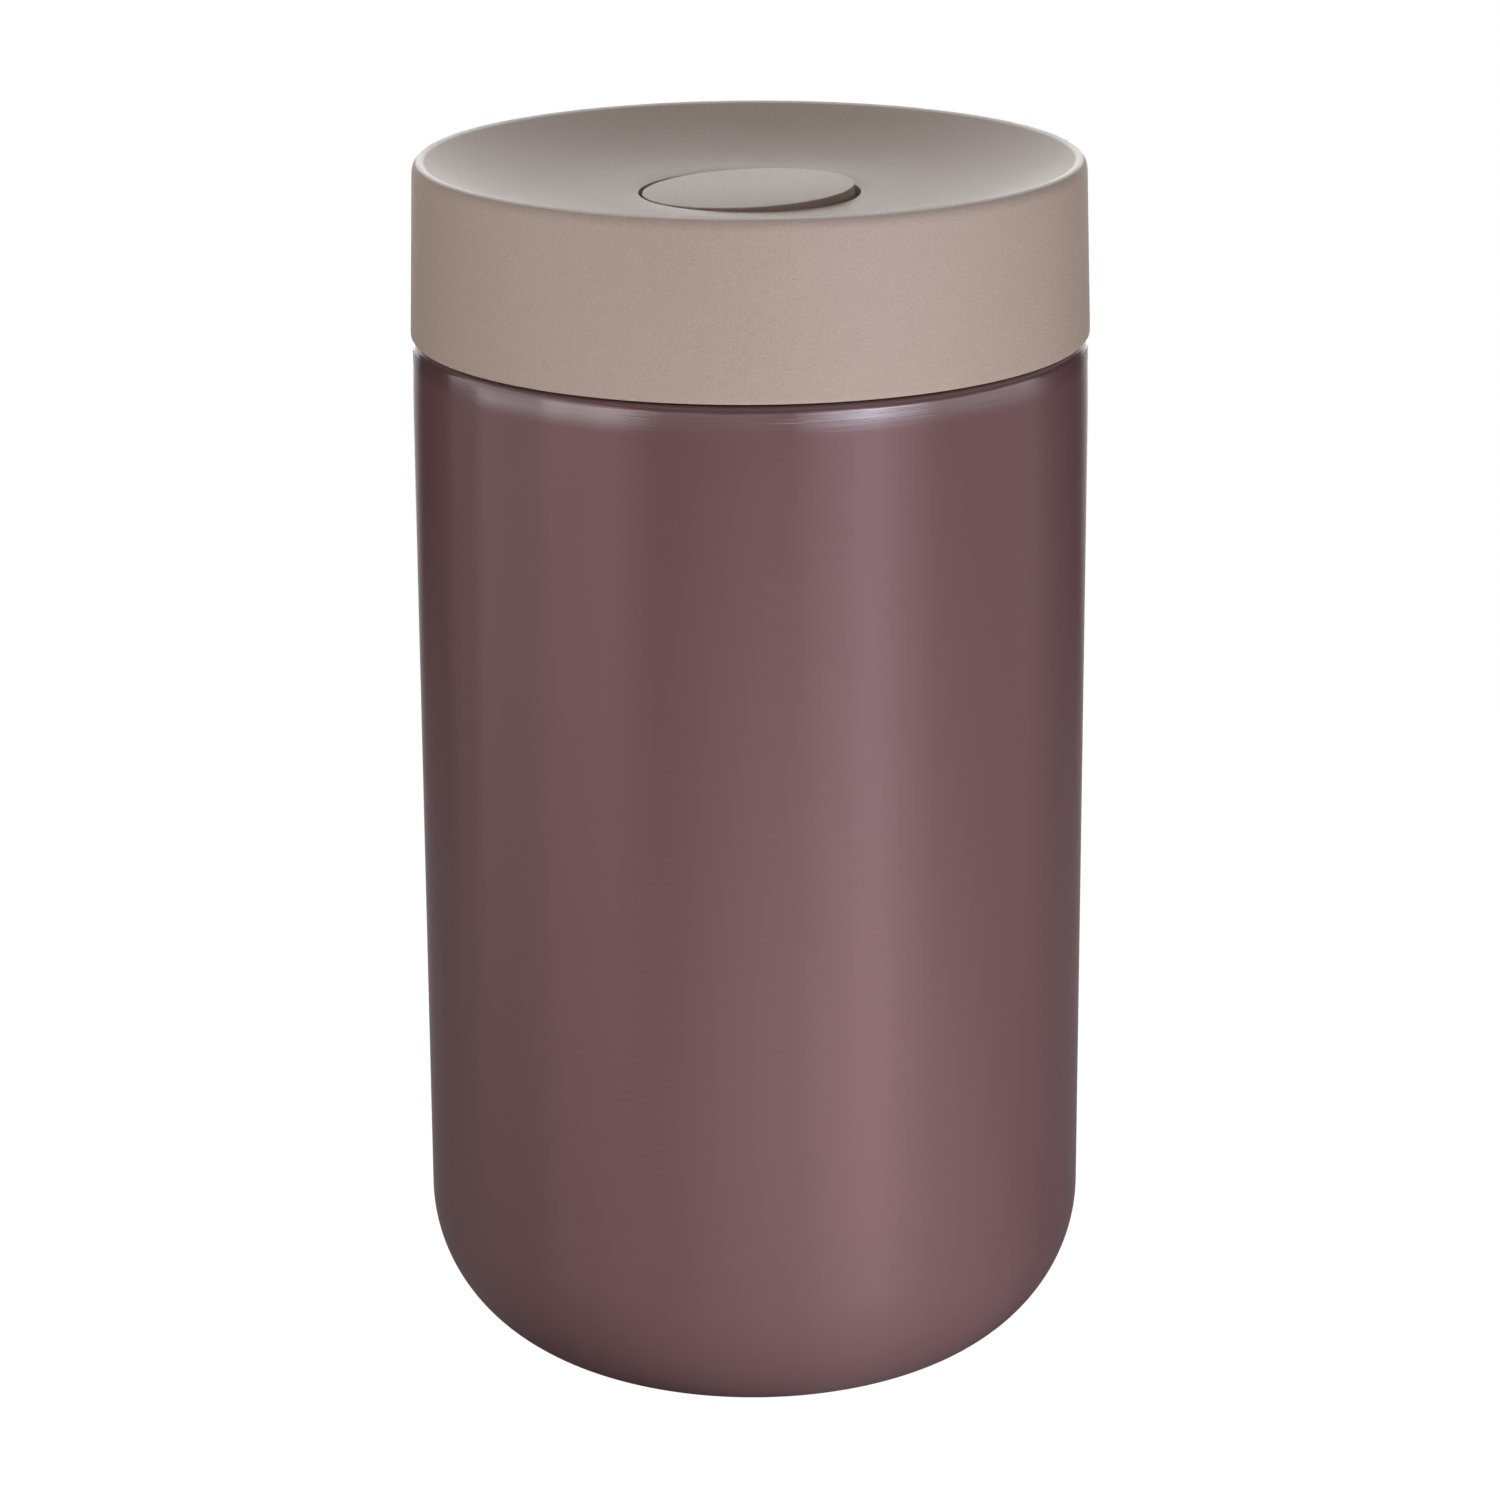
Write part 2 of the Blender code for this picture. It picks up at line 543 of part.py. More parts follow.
def build_vent_button(parts, cutters, pivot, plastic):
    """Round plate that rocks on its pin; modelled flat from the pin, the pivot tilts it."""
    centre_x = -pin_x
    top = PIN_DROP + BUTTON_THICKNESS
    disc = [(0.0, top), (BUTTON_RADIUS - BUTTON_EDGE, top), (BUTTON_RADIUS, top - BUTTON_EDGE),
            (BUTTON_RADIUS, PIN_DROP), (0.0, PIN_DROP)]
    button = turned("vent_button", disc, plastic, parts, pivot, closed=False)
    button.location.x = centre_x

    overlap = BUTTON_THICKNESS / 2
    pad_foot = PIN_DROP - PUSH_PAD_HEIGHT
    pad = [(0.0, PIN_DROP + overlap), (PUSH_PAD_RADIUS, PIN_DROP + overlap), (PUSH_PAD_RADIUS, PIN_DROP),
           (PUSH_PAD_RADIUS * 0.6, pad_foot), (0.0, pad_foot)]
    pad_solid = turned("push_pad_solid", pad, None, cutters, pivot, closed=False, steps=SMALL_STEPS)
    pad_solid.location.x = centre_x
    boolean(button, pad_solid, "UNION")
    for side in (-1, 1):
        y = side * LUG_SPACING / 2
        barrel = rod_along_y("lug_barrel_solid", LUG_RADIUS, LUG_WIDTH, (0, y, 0), None, cutters, pivot)
        web = block("lug_web_solid", (2 * LUG_RADIUS * 0.96, LUG_WIDTH, PIN_DROP + overlap),
                    (0, y, (PIN_DROP + overlap) / 2), cutters, pivot)
        boolean(barrel, web, "UNION")
        boolean(button, barrel, "UNION")
    bore = rod_along_y("lug_pin_bore", PIN_RADIUS + CLEARANCE, LUG_SPACING + 4 * LUG_WIDTH, (0, 0, 0), None,
                       cutters, pivot)
    boolean(button, bore, "DIFFERENCE")


def build_hinge_pin(parts, lid, steel):
    """Steel pin through both posts and both lugs."""
    length = LUG_SPACING + LUG_WIDTH + 2 * POST_WIDTH
    pin = rod_along_y("hinge_pin", PIN_RADIUS, length, (0, 0, 0), steel, parts, lid)
    pin.location = (pin_x, 0.0, pin_height)


def build_valve(parts, lid, plastic, rubber, steel):
    """Push stem, the silicone disc it carries under the plug and the clip that keeps it."""
    shaft_bottom = plug_underside - 3 * CLEARANCE - VALVE_SEAL_HEIGHT - CLIP_HEIGHT - STEM_TAIL
    shoulder = stem_top - STEM_HEAD_HEIGHT
    stem = [(0.0, stem_top), (STEM_HEAD_RADIUS, stem_top), (STEM_HEAD_RADIUS, shoulder),
            (STEM_RADIUS, shoulder), (STEM_RADIUS, shaft_bottom), (0.0, shaft_bottom)]
    turned("valve_stem", stem, plastic, parts, lid, closed=False, steps=SMALL_STEPS)

    bore = STEM_RADIUS + CLEARANCE
    seal_top = plug_underside - CLEARANCE
    seal_bottom = seal_top - VALVE_SEAL_HEIGHT
    seal = [(bore, seal_top), (VALVE_SEAL_RADIUS, seal_top),
            (VALVE_SEAL_RADIUS, seal_top - VALVE_SEAL_HEIGHT / 2), (CLIP_RADIUS, seal_bottom),
            (bore, seal_bottom)]
    turned("valve_seal", seal, rubber, parts, lid, steps=SMALL_STEPS)

    clip_top = seal_bottom - CLEARANCE
    clip_bottom = clip_top - CLIP_HEIGHT
    clip = [(bore, clip_top), (CLIP_RADIUS, clip_top), (CLIP_RADIUS, clip_bottom), (bore, clip_bottom)]
    turned("stem_clip", clip, steel, parts, lid, steps=SMALL_STEPS)


def build_vent_spring(parts, lid, steel):
    """Compression spring between the well's floor and the stem's head."""
    radius = (stem_hole + SPRING_WIRE / 2 + STEM_HEAD_RADIUS) / 2
    wire_radius = SPRING_WIRE / 2
    low = well_floor_top + CLEARANCE + wire_radius
    high = stem_top - STEM_HEAD_HEIGHT - CLEARANCE - wire_radius
    curve = bpy.data.curves.new("vent_spring", "CURVE")
    curve.dimensions = "3D"
    curve.bevel_depth = wire_radius
    curve.bevel_resolution = 1
    curve.use_fill_caps = True
    spline = curve.splines.new("POLY")
    count = round(SPRING_TURNS * SPRING_POINTS_A_TURN)
    spline.points.add(count)
    for i, point in enumerate(spline.points):
        angle = 2 * pi * SPRING_TURNS * i / count
        point.co = (radius * cos(angle), radius * sin(angle), low + (high - low) * i / count, 1.0)
    curve.materials.append(steel)
    spring = bpy.data.objects.new("vent_spring", curve)
    parts.objects.link(spring)
    spring.parent = lid


def empty(name, location, collection, parent=None):
    """An axis marker that carries pieces."""
    obj = bpy.data.objects.new(name, None)
    collection.objects.link(obj)
    obj.parent = parent
    obj.location = location
    return obj


def main():
    clear_scene()
    parts = new_collection("steel_food_container")
    cutters = new_collection("cutters")
    lacquer = material("mauve_lacquered_steel", (0.19, 0.085, 0.09), 0.38, 0.75)
    steel = material("bare_steel", (0.62, 0.60, 0.58), 0.30, 1.0)
    copper = material("copper_foil", (0.72, 0.38, 0.24), 0.35, 1.0)
    getter_metal = material("getter_alloy", (0.30, 0.30, 0.31), 0.70, 0.5)
    glass = material("sealing_glass", (0.20, 0.26, 0.24), 0.20)
    adhesive = material("foam_adhesive", (0.75, 0.74, 0.70), 0.80)
    taupe = material("taupe_plastic", (0.40, 0.30, 0.25), 0.55)
    liner_plastic = material("liner_plastic", (0.45, 0.36, 0.31), 0.50)
    foam = material("insulating_foam", (0.86, 0.84, 0.78), 0.95)
    silicone = material("silicone", (0.70, 0.68, 0.65), 0.60)

    build_outer_shell(parts, cutters, lacquer)
    build_outer_bottom(parts, lacquer)
    belly_top = build_inner_shell(parts, steel)
    build_inner_bottom(parts, steel)
    build_vacuum_fittings(parts, belly_top, copper, getter_metal, steel, glass)
    build_base_cover(parts, steel, adhesive)

    lid_rise = empty("lid_rise", (0.0, 0.0, lid_edge), parts)
    lid_turn = empty("lid_turn", (0.0, 0.0, 0.0), parts, lid_rise)
    build_lid_gasket(parts, lid_rise, silicone)
    build_lid_cap(parts, cutters, lid_turn, taupe)
    build_lid_liner(parts, cutters, lid_turn, liner_plastic)
    build_lid_foam(parts, lid_turn, foam)

    vent_pivot = empty("vent_pivot", (pin_x, 0.0, pin_height), parts, lid_turn)
    vent_pivot.rotation_euler.y = -radians(BUTTON_TILT)
    build_vent_button(parts, cutters, vent_pivot, taupe)
    build_hinge_pin(parts, lid_turn, steel)
    build_valve(parts, lid_turn, liner_plastic, silicone, steel)
    build_vent_spring(parts, lid_turn, steel)


main()
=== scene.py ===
from math import asin, cos, degrees, pi, radians, sin, sqrt

import bpy
from mathutils import Matrix, Vector


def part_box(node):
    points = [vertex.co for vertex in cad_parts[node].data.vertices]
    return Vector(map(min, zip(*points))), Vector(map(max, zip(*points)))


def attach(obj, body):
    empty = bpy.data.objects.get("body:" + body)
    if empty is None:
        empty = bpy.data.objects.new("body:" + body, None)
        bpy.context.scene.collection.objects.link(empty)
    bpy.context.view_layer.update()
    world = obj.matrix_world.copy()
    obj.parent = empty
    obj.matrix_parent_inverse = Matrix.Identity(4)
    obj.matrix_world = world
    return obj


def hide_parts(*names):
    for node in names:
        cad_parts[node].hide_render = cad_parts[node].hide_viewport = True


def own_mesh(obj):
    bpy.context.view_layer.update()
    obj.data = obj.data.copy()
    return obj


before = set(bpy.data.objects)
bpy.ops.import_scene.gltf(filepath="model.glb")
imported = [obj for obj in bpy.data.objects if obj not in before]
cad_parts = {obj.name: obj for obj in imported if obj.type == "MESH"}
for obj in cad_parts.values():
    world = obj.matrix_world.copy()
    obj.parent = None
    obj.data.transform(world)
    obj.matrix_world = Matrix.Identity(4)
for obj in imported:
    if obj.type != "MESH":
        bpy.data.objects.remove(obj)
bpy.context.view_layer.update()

# Outer wall of the container.
# Deep-drawn stainless steel, 0.6 mm thick: threaded neck, flat shoulder, straight side and a big
# round corner down to the foot ring. Its weld to the bottom cup is ground flush and doesn't show.
MM = 0.001
AROUND = 256                    # divisions round the big turned pieces
merge_distance = 0.000002
smooth_under = radians(32)
wall = 0.6 * MM
body_radius = 47.4 * MM
body_corner = 23.1 * MM
shoulder_height = 149.5 * MM
shoulder_corner = 1.1 * MM
neck_radius = 41.6 * MM
neck_top = 163.1 * MM
neck_top_round = 0.25 * MM
neck_fillet = 1.0 * MM
crown_height = 11 * MM          # the side draws in a little towards the shoulder
crown_depth = 0.16 * MM
crown_steps = 12
side_rings = 6
foot_radius = body_radius - body_corner
foot_ring_width = 2.2 * MM
foot_round = 0.5 * MM
recess_radius = foot_radius - foot_ring_width
recess_height = 2.1 * MM
recess_draft = 0.3 * MM
dimple_radius = 4.2 * MM
dimple_floor_radius = 2.8 * MM
dimple_height = 1.2 * MM
dimple_top = recess_height + dimple_height
evacuation_hole = 0.8 * MM


def arc(centre_r, centre_z, radius, start, stop, pieces):
    """Outline points on an arc, angles in degrees from outwards towards up."""
    turns = [radians(start + (stop - start) * i / pieces) for i in range(pieces + 1)]
    return [(centre_r + radius * cos(t), centre_z + radius * sin(t)) for t in turns]


def spin_outline(name, outline, around=AROUND, closed=True):
    """Draw an outline of (radius, height) points vertex by vertex and spin it round the Z axis."""
    points = outline + [outline[0]] if closed else outline
    bpy.ops.object.select_all(action="DESELECT")
    bpy.ops.mesh.primitive_plane_add(size=MM, location=(points[0][0], 0, points[0][1]))
    piece = bpy.context.object
    piece.name = name
    bpy.ops.object.mode_set(mode="EDIT")
    bpy.ops.mesh.merge(type="CENTER")
    for (r0, z0), (r1, z1) in zip(points, points[1:]):
        bpy.ops.mesh.extrude_region_move(TRANSFORM_OT_translate={"value": (r1 - r0, 0, z1 - z0)})
    bpy.ops.mesh.select_all(action="SELECT")
    bpy.ops.mesh.spin(steps=around, angle=2 * pi, center=(0, 0, 0), axis=(0, 0, 1))
    bpy.ops.mesh.select_all(action="SELECT")
    bpy.ops.mesh.remove_doubles(threshold=merge_distance)
    bpy.ops.mesh.normals_make_consistent(inside=False)
    bpy.ops.object.mode_set(mode="OBJECT")
    bpy.ops.object.transform_apply(location=True, rotation=True, scale=True)
    bpy.ops.object.shade_smooth_by_angle(angle=smooth_under)
    return piece


def linear(hex_colour):
    """sRGB hex to the linear RGBA that a shader socket takes."""
    channels = [int(hex_colour[i:i + 2], 16) / 255 for i in (1, 3, 5)]
    return [c / 12.92 if c <= 0.04045 else ((c + 0.055) / 1.055) ** 2.4 for c in channels] + [1.0]


def new_material(name, **sockets):
    """A Principled material with the given values on the shader's own sockets."""
    finish = bpy.data.materials.new(name)
    finish.use_nodes = True
    shader = finish.node_tree.nodes["Principled BSDF"]
    for socket, value in sockets.items():
        shader.inputs[socket.replace("_", " ")].default_value = value
    return finish


def add_node(finish, kind, settings, *links):
    """Add a node, set its properties and inputs, and link (node, output, input) rows to it."""
    tree = finish.node_tree
    node = tree.nodes.new(kind)
    for key, value in settings.items():
        if isinstance(key, int) or key in node.inputs:
            node.inputs[key].default_value = value
        else:
            setattr(node, key, value)
    for source, output, target in links:
        tree.links.new(source.outputs[output], node.inputs[target])
    return node


def principled(finish):
    """The material's Principled shader node."""
    return finish.node_tree.nodes["Principled BSDF"]


def wire(finish, source, output, target, socket):
    """Link one node's output to another node's input."""
    finish.node_tree.links.new(source.outputs[output], target.inputs[socket])


def wear(piece, finish, slot_name, body, *nodes):
    """Give a piece its material and its body, and hide the CAD nodes it stands for; slot_name is not
    used.
    """
    piece.data.materials.clear()
    piece.data.materials.append(finish)
    if nodes:
        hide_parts(*nodes)
    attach(piece, body)


side_top = shoulder_height - shoulder_corner
crown_foot = side_top - crown_height
crown_tilt = degrees(2 * crown_depth / crown_height)
outline = arc(neck_radius - neck_top_round, neck_top - neck_top_round, neck_top_round, 90, 0,
              pieces=3)
outline += arc(neck_radius + neck_fillet, shoulder_height + neck_fillet, neck_fillet, 180, 270,
               pieces=6)
outline += arc(body_radius - crown_depth - shoulder_corner, side_top, shoulder_corner,
               90, crown_tilt, pieces=10)
for step in range(1, crown_steps + 1):
    share = step / crown_steps
    outline.append((body_radius - crown_depth * (1 - share) ** 2, side_top - crown_height * share))
outline += [(body_radius, crown_foot + (body_corner - crown_foot) * i / side_rings)
            for i in range(1, side_rings)]
outline += arc(foot_radius, body_corner, body_corner, 0, -90, pieces=36)
outline += arc(recess_radius + foot_round, foot_round, foot_round, 270, 180, pieces=5)
outline += [(recess_radius - recess_draft, recess_height), (dimple_radius, recess_height),
            (dimple_floor_radius, dimple_top), (evacuation_hole, dimple_top),
            (evacuation_hole, dimple_top + wall), (dimple_floor_radius, dimple_top + wall),
            (dimple_radius, recess_height + wall),
            (recess_radius + wall - recess_draft, recess_height + wall),
            (recess_radius + wall, foot_round + wall)]
outline += arc(foot_radius, body_corner, body_corner - wall, -90, 0, pieces=18)
outline += [(body_radius - wall, shoulder_height - wall),
            (neck_radius - wall, shoulder_height - wall), (neck_radius - wall, neck_top)]
body_wall = spin_outline("body_wall", outline)

# Pigmented satin lacquer baked over a turned brushing: the mauve is mostly the paint's colour, some
# metal gleams through, and the brush lines draw a lamp's reflection out into soft upright bands. It
# is thick and glossy on the shoulder's corner and ends just above it; the masked neck stays bare.
MIX_A, MIX_B, MIX_OUT = 6, 7, 2  # a colour Mix node's sockets
brush_pitch = 0.25 * MM         # real lines are near 0.1 mm, drawn coarser so that they show
brush_length = 30 * MM
brush_relief = 0.02 * MM
gloss_relief = 0.045 * MM
gloss_height = 3.5 * MM         # how far below the corner the thicker lacquer reaches
thin_gloss = 0.03
lacquer_metal = 0.2
lacquer_end = shoulder_height + 0.05 * MM
bare_start = shoulder_height + 0.2 * MM
lacquer = new_material("satin_mauve_lacquer_on_brushed_steel", Metallic=lacquer_metal, Roughness=0.35,
                       Anisotropic=1.0, Anisotropic_Rotation=0.25, Specular_IOR_Level=0.32,
                       Coat_IOR=1.9, Coat_Roughness=0.12)


def brushed_coordinates(finish, pitch, length):
    """Object coordinates squeezed so that noise turns into fine lines that run round the Z axis."""
    place = add_node(finish, "ShaderNodeTexCoord", {})
    split = add_node(finish, "ShaderNodeSeparateXYZ", {}, (place, "Object", 0))
    flat = add_node(finish, "ShaderNodeCombineXYZ", {}, (split, "X", 0), (split, "Y", 1))
    radius = add_node(finish, "ShaderNodeVectorMath", {"operation": "LENGTH"}, (flat, 0, 0))
    along = add_node(finish, "ShaderNodeMath", {"operation": "ADD"},
                     (split, "Z", 0), (radius, "Value", 1))
    fine = add_node(finish, "ShaderNodeMath", {"operation": "MULTIPLY", 1: 1 / pitch}, (along, 0, 0))
    stretched = add_node(finish, "ShaderNodeVectorMath", {"operation": "SCALE", "Scale": 1 / length},
                         (flat, 0, 0))
    joined = add_node(finish, "ShaderNodeVectorMath", {"operation": "ADD"}, (stretched, 0, 0))
    lift = add_node(finish, "ShaderNodeCombineXYZ", {}, (fine, 0, 2))
    wire(finish, lift, 0, joined, 1)
    return joined


def round_tangent(finish):
    """Direction round the Z axis at each point, for a turned or brushed gleam."""
    place = add_node(finish, "ShaderNodeTexCoord", {})
    across = add_node(finish, "ShaderNodeVectorMath", {"operation": "CROSS_PRODUCT", 0: (0, 0, 1)},
                      (place, "Object", 1))
    return add_node(finish, "ShaderNodeVectorMath", {"operation": "NORMALIZE"}, (across, 0, 0))


lines_place = brushed_coordinates(lacquer, brush_pitch, brush_length)
lines = add_node(lacquer, "ShaderNodeTexNoise", {"Scale": 1.0, "Detail": 3.0, "Roughness": 0.65},
                 (lines_place, 0, "Vector"))
tone = add_node(lacquer, "ShaderNodeMix",
                {"data_type": "RGBA", MIX_A: linear("#795758"), MIX_B: linear("#7F5D5E")},
                (lines, "Fac", 0))
shoulder_place = add_node(lacquer, "ShaderNodeTexCoord", {})
shoulder_split = add_node(lacquer, "ShaderNodeSeparateXYZ", {}, (shoulder_place, "Object", 0))
built_up = add_node(lacquer, "ShaderNodeMapRange",
                    {"From Min": side_top - gloss_height, "From Max": side_top, "To Min": thin_gloss,
                     "interpolation_type": "SMOOTHERSTEP"}, (shoulder_split, "Z", "Value"))
unpainted = add_node(lacquer, "ShaderNodeMapRange", {"From Min": lacquer_end, "From Max": bare_start},
                     (shoulder_split, "Z", "Value"))
skin_tone = add_node(lacquer, "ShaderNodeMix", {"data_type": "RGBA", MIX_B: linear("#C4C1BC")},
                     (unpainted, 0, 0), (tone, MIX_OUT, MIX_A))
skin_metal = add_node(lacquer, "ShaderNodeMapRange", {"To Min": lacquer_metal},
                      (unpainted, 0, "Value"))
painted = add_node(lacquer, "ShaderNodeMath", {"operation": "SUBTRACT", 0: 1.0}, (unpainted, 0, 1))
coated = add_node(lacquer, "ShaderNodeMath", {"operation": "MULTIPLY"},
                  (built_up, 0, 0), (painted, 0, 1))
wire(lacquer, skin_tone, MIX_OUT, principled(lacquer), "Base Color")
wire(lacquer, skin_metal, 0, principled(lacquer), "Metallic")
wire(lacquer, coated, 0, principled(lacquer), "Coat Weight")
for relief, socket in ((brush_relief, "Normal"), (gloss_relief, "Coat Normal")):
    bump = add_node(lacquer, "ShaderNodeBump", {"Strength": 1.0, "Distance": relief},
                    (lines, "Fac", "Height"))
    wire(lacquer, bump, 0, principled(lacquer), socket)
wire(lacquer, round_tangent(lacquer), 0, principled(lacquer), "Tangent")
wear(body_wall, lacquer, "lacquered_steel", "vessel", "outer_shell", "outer_bottom")

# Thread on the neck.
# Three starts rolled into the steel, a third of a turn apart. They are made as ridges on the neck's
# wall, at the same pitch and places as the liner's ridges that ride under them.
thread_starts = 3
thread_lead = 12 * MM
thread_depth = 1.15 * MM
thread_root = 1.7 * MM
thread_crest = 0.8 * MM
thread_margin = 1.0 * MM
thread_sink = 0.3 * MM
thread_run_out = 0.9 * MM
thread_end_height = 0.1         # share of the full depth that is left at a ridge's end
neck_thread_low = shoulder_height + neck_fillet + thread_margin
neck_thread_high = neck_top - thread_margin


def helical_ridges(name, wall_radius, side, low, high, start_angle):
    """Ridges of a multi-start thread; side is 1 on the outside of a wall and -1 inside a bore."""
    first = low + thread_root / 2
    turn = 360 * (high - thread_root / 2 - first) / thread_lead
    made = []
    for start in range(thread_starts):
        bpy.ops.object.select_all(action="DESELECT")
        bpy.ops.mesh.primitive_circle_add(vertices=16, radius=thread_root / 2, fill_type="NGON",
                                          location=(wall_radius, 0, first), rotation=(pi / 2, 0, 0))
        ridge = bpy.context.object
        bpy.ops.object.transform_apply(location=True, rotation=True, scale=True)
        for vert in ridge.data.vertices:
            rise = (vert.co.x - wall_radius) / (thread_root / 2) * side
            vert.co.x = wall_radius + side * (thread_depth * rise if rise > 0 else thread_sink * rise)
        screw = ridge.modifiers.new("Thread", "SCREW")
        screw.axis = "Z"
        screw.angle = radians(turn)
        screw.screw_offset = thread_lead * turn / 360
        screw.steps = round(turn * AROUND / 360)
        screw.render_steps = screw.steps
        screw.use_merge_vertices = False
        bpy.ops.object.modifier_apply(modifier="Thread")
        last = first + thread_lead * turn / 360
        for vert in ridge.data.vertices:
            radius = sqrt(vert.co.x ** 2 + vert.co.y ** 2)
            from_end = min(vert.co.z - first, last - vert.co.z) + thread_root / 2
            fade = min(1.0, max(0.0, from_end / thread_run_out))
            height = side * (radius - wall_radius)
            if height > 0:
                kept = thread_end_height + (1 - thread_end_height) * fade
                faded = wall_radius + side * height * kept
                vert.co.x *= faded / radius
                vert.co.y *= faded / radius
        share = radians(start_angle + 360 * start / thread_starts)
        ridge.data.transform(Matrix.Rotation(share, 4, "Z"))
        made.append(ridge)
    for ridge in made:
        ridge.select_set(True)
    bpy.context.view_layer.objects.active = made[0]
    bpy.ops.object.join()
    ridges = bpy.context.object
    ridges.name = name
    bpy.ops.object.mode_set(mode="EDIT")
    bpy.ops.mesh.select_all(action="SELECT")
    bpy.ops.mesh.normals_make_consistent(inside=False)
    bpy.ops.object.mode_set(mode="OBJECT")
    bpy.ops.object.shade_smooth_by_angle(angle=smooth_under)
    return ridges


neck_thread = helical_ridges("neck_thread", neck_radius, 1, neck_thread_low, neck_thread_high, 0)

# Stainless steel turned on a lathe and left bare: bright, with fine lines round the axis that draw
# its gleam out upright.
bare_steel = new_material("turned_stainless_steel", Metallic=1.0, Roughness=0.3, Anisotropic=0.6,
                          Anisotropic_Rotation=0.25)
steel_place = brushed_coordinates(bare_steel, pitch=0.5 * MM, length=25 * MM)
steel_lines = add_node(bare_steel, "ShaderNodeTexNoise",
                       {"Scale": 1.0, "Detail": 3.0, "Roughness": 0.6}, (steel_place, 0, "Vector"))
steel_tone = add_node(bare_steel, "ShaderNodeMix",
                      {"data_type": "RGBA", MIX_A: linear("#B9B6B1"), MIX_B: linear("#CFCCC7")},
                      (steel_lines, "Fac", 0))
wire(bare_steel, steel_tone, MIX_OUT, principled(bare_steel), "Base Color")
steel_bump = add_node(bare_steel, "ShaderNodeBump", {"Strength": 0.2, "Distance": 0.02 * MM},
                      (steel_lines, "Fac", "Height"))
wire(bare_steel, steel_bump, 0, principled(bare_steel), "Normal")
wire(bare_steel, round_tangent(bare_steel), 0, principled(bare_steel), "Tangent")
wear(neck_thread, bare_steel, "bare_steel", "vessel")

# Inner wall and its bottom.
# They hold the food: 0.5 mm stainless steel, pressed wider below the neck and closed by a drawn cup.
# The lip is rolled over the neck and welded there. Inside they are turned and left bare.
sheet = 0.5 * MM
lip_top = 163.9 * MM
lip_underside = lip_top - sheet
lip_fillet = 0.8 * MM
inner_neck_radius = 38.9 * MM
inner_radius = 42.0 * MM
inner_corner = 20.0 * MM
inner_floor = 8.0 * MM
blend_radius = 4.0 * MM
blend_start = 147.5 * MM
blend_turn = 2 * degrees(asin(sqrt((inner_radius - inner_neck_radius) / blend_radius / 4)))
blend_drop = 2 * blend_radius * sin(radians(blend_turn))
blend_stop = blend_start - blend_drop
outline = arc(neck_radius - sheet / 2, lip_top - sheet / 2, sheet / 2, 90, -90, pieces=8)
outline += arc(inner_neck_radius + lip_fillet, lip_underside - lip_fillet, lip_fillet, 90, 180,
               pieces=6)
outline += arc(inner_neck_radius + blend_radius, blend_start, blend_radius, 180, 180 + blend_turn,
               pieces=8)
outline += arc(inner_radius - blend_radius, blend_stop, blend_radius, blend_turn, 0, pieces=8)[1:]
outline += arc(inner_radius - inner_corner, inner_floor + inner_corner, inner_corner, 0, -90,
               pieces=16)
outline += [(0, inner_floor), (0, inner_floor + sheet)]
outline += arc(inner_radius - inner_corner, inner_floor + inner_corner, inner_corner - sheet, -90, 0,
               pieces=24)
outline += arc(inner_radius - blend_radius, blend_stop, blend_radius - sheet, 0, blend_turn,
               pieces=10)
outline += arc(inner_neck_radius + blend_radius, blend_start, blend_radius + sheet,
               180 + blend_turn, 180, pieces=10)[1:]
outline += arc(inner_neck_radius + lip_fillet, lip_underside - lip_fillet, lip_fillet + sheet,
               180, 90, pieces=10)
food_vessel = spin_outline("food_vessel", outline)
wear(food_vessel, bare_steel, "bare_steel", "vessel", "inner_shell", "inner_bottom")

# Foil, getter, sealing bead and adhesive.
# They lie in the vacuum and under the base cover, out of sight, and keep their CAD shapes. The foil
# is rolled copper, bright, with the soft crinkles of a sheet wrapped by hand.
copper = new_material("rolled_copper_foil", Metallic=1.0, Roughness=0.32)
crinkle_size = 6 * MM
crinkle_place = add_node(copper, "ShaderNodeTexCoord", {})
crinkle = add_node(copper, "ShaderNodeTexNoise", {"Scale": 1 / crinkle_size, "Detail": 4.0},
                   (crinkle_place, "Object", "Vector"))
copper_tone = add_node(copper, "ShaderNodeMix",
                       {"data_type": "RGBA", MIX_A: linear("#C98A63"), MIX_B: linear("#DBA47F")},
                       (crinkle, "Fac", 0))
wire(copper, copper_tone, MIX_OUT, principled(copper), "Base Color")
copper_bump = add_node(copper, "ShaderNodeBump", {"Strength": 0.4, "Distance": 0.2 * MM},
                       (crinkle, "Fac", "Height"))
wire(copper, copper_bump, 0, principled(copper), "Normal")


def speckled(name, dark, light, grain, roughness, relief, **sockets):
    """A material with two close tones and a fine relief, both from one noise of a real grain."""
    finish = new_material(name, Roughness=roughness, **sockets)
    place = add_node(finish, "ShaderNodeTexCoord", {})
    noise = add_node(finish, "ShaderNodeTexNoise",
                     {"Scale": 1 / grain, "Detail": 3.0, "Roughness": 0.6},
                     (place, "Object", "Vector"))
    tones = add_node(finish, "ShaderNodeMix",
                     {"data_type": "RGBA", MIX_A: linear(dark), MIX_B: linear(light)},
                     (noise, "Fac", 0))
    wire(finish, tones, MIX_OUT, principled(finish), "Base Color")
    rough = add_node(finish, "ShaderNodeBump", {"Strength": 0.5, "Distance": relief},
                     (noise, "Fac", "Height"))
    wire(finish, rough, 0, principled(finish), "Normal")
    return finish


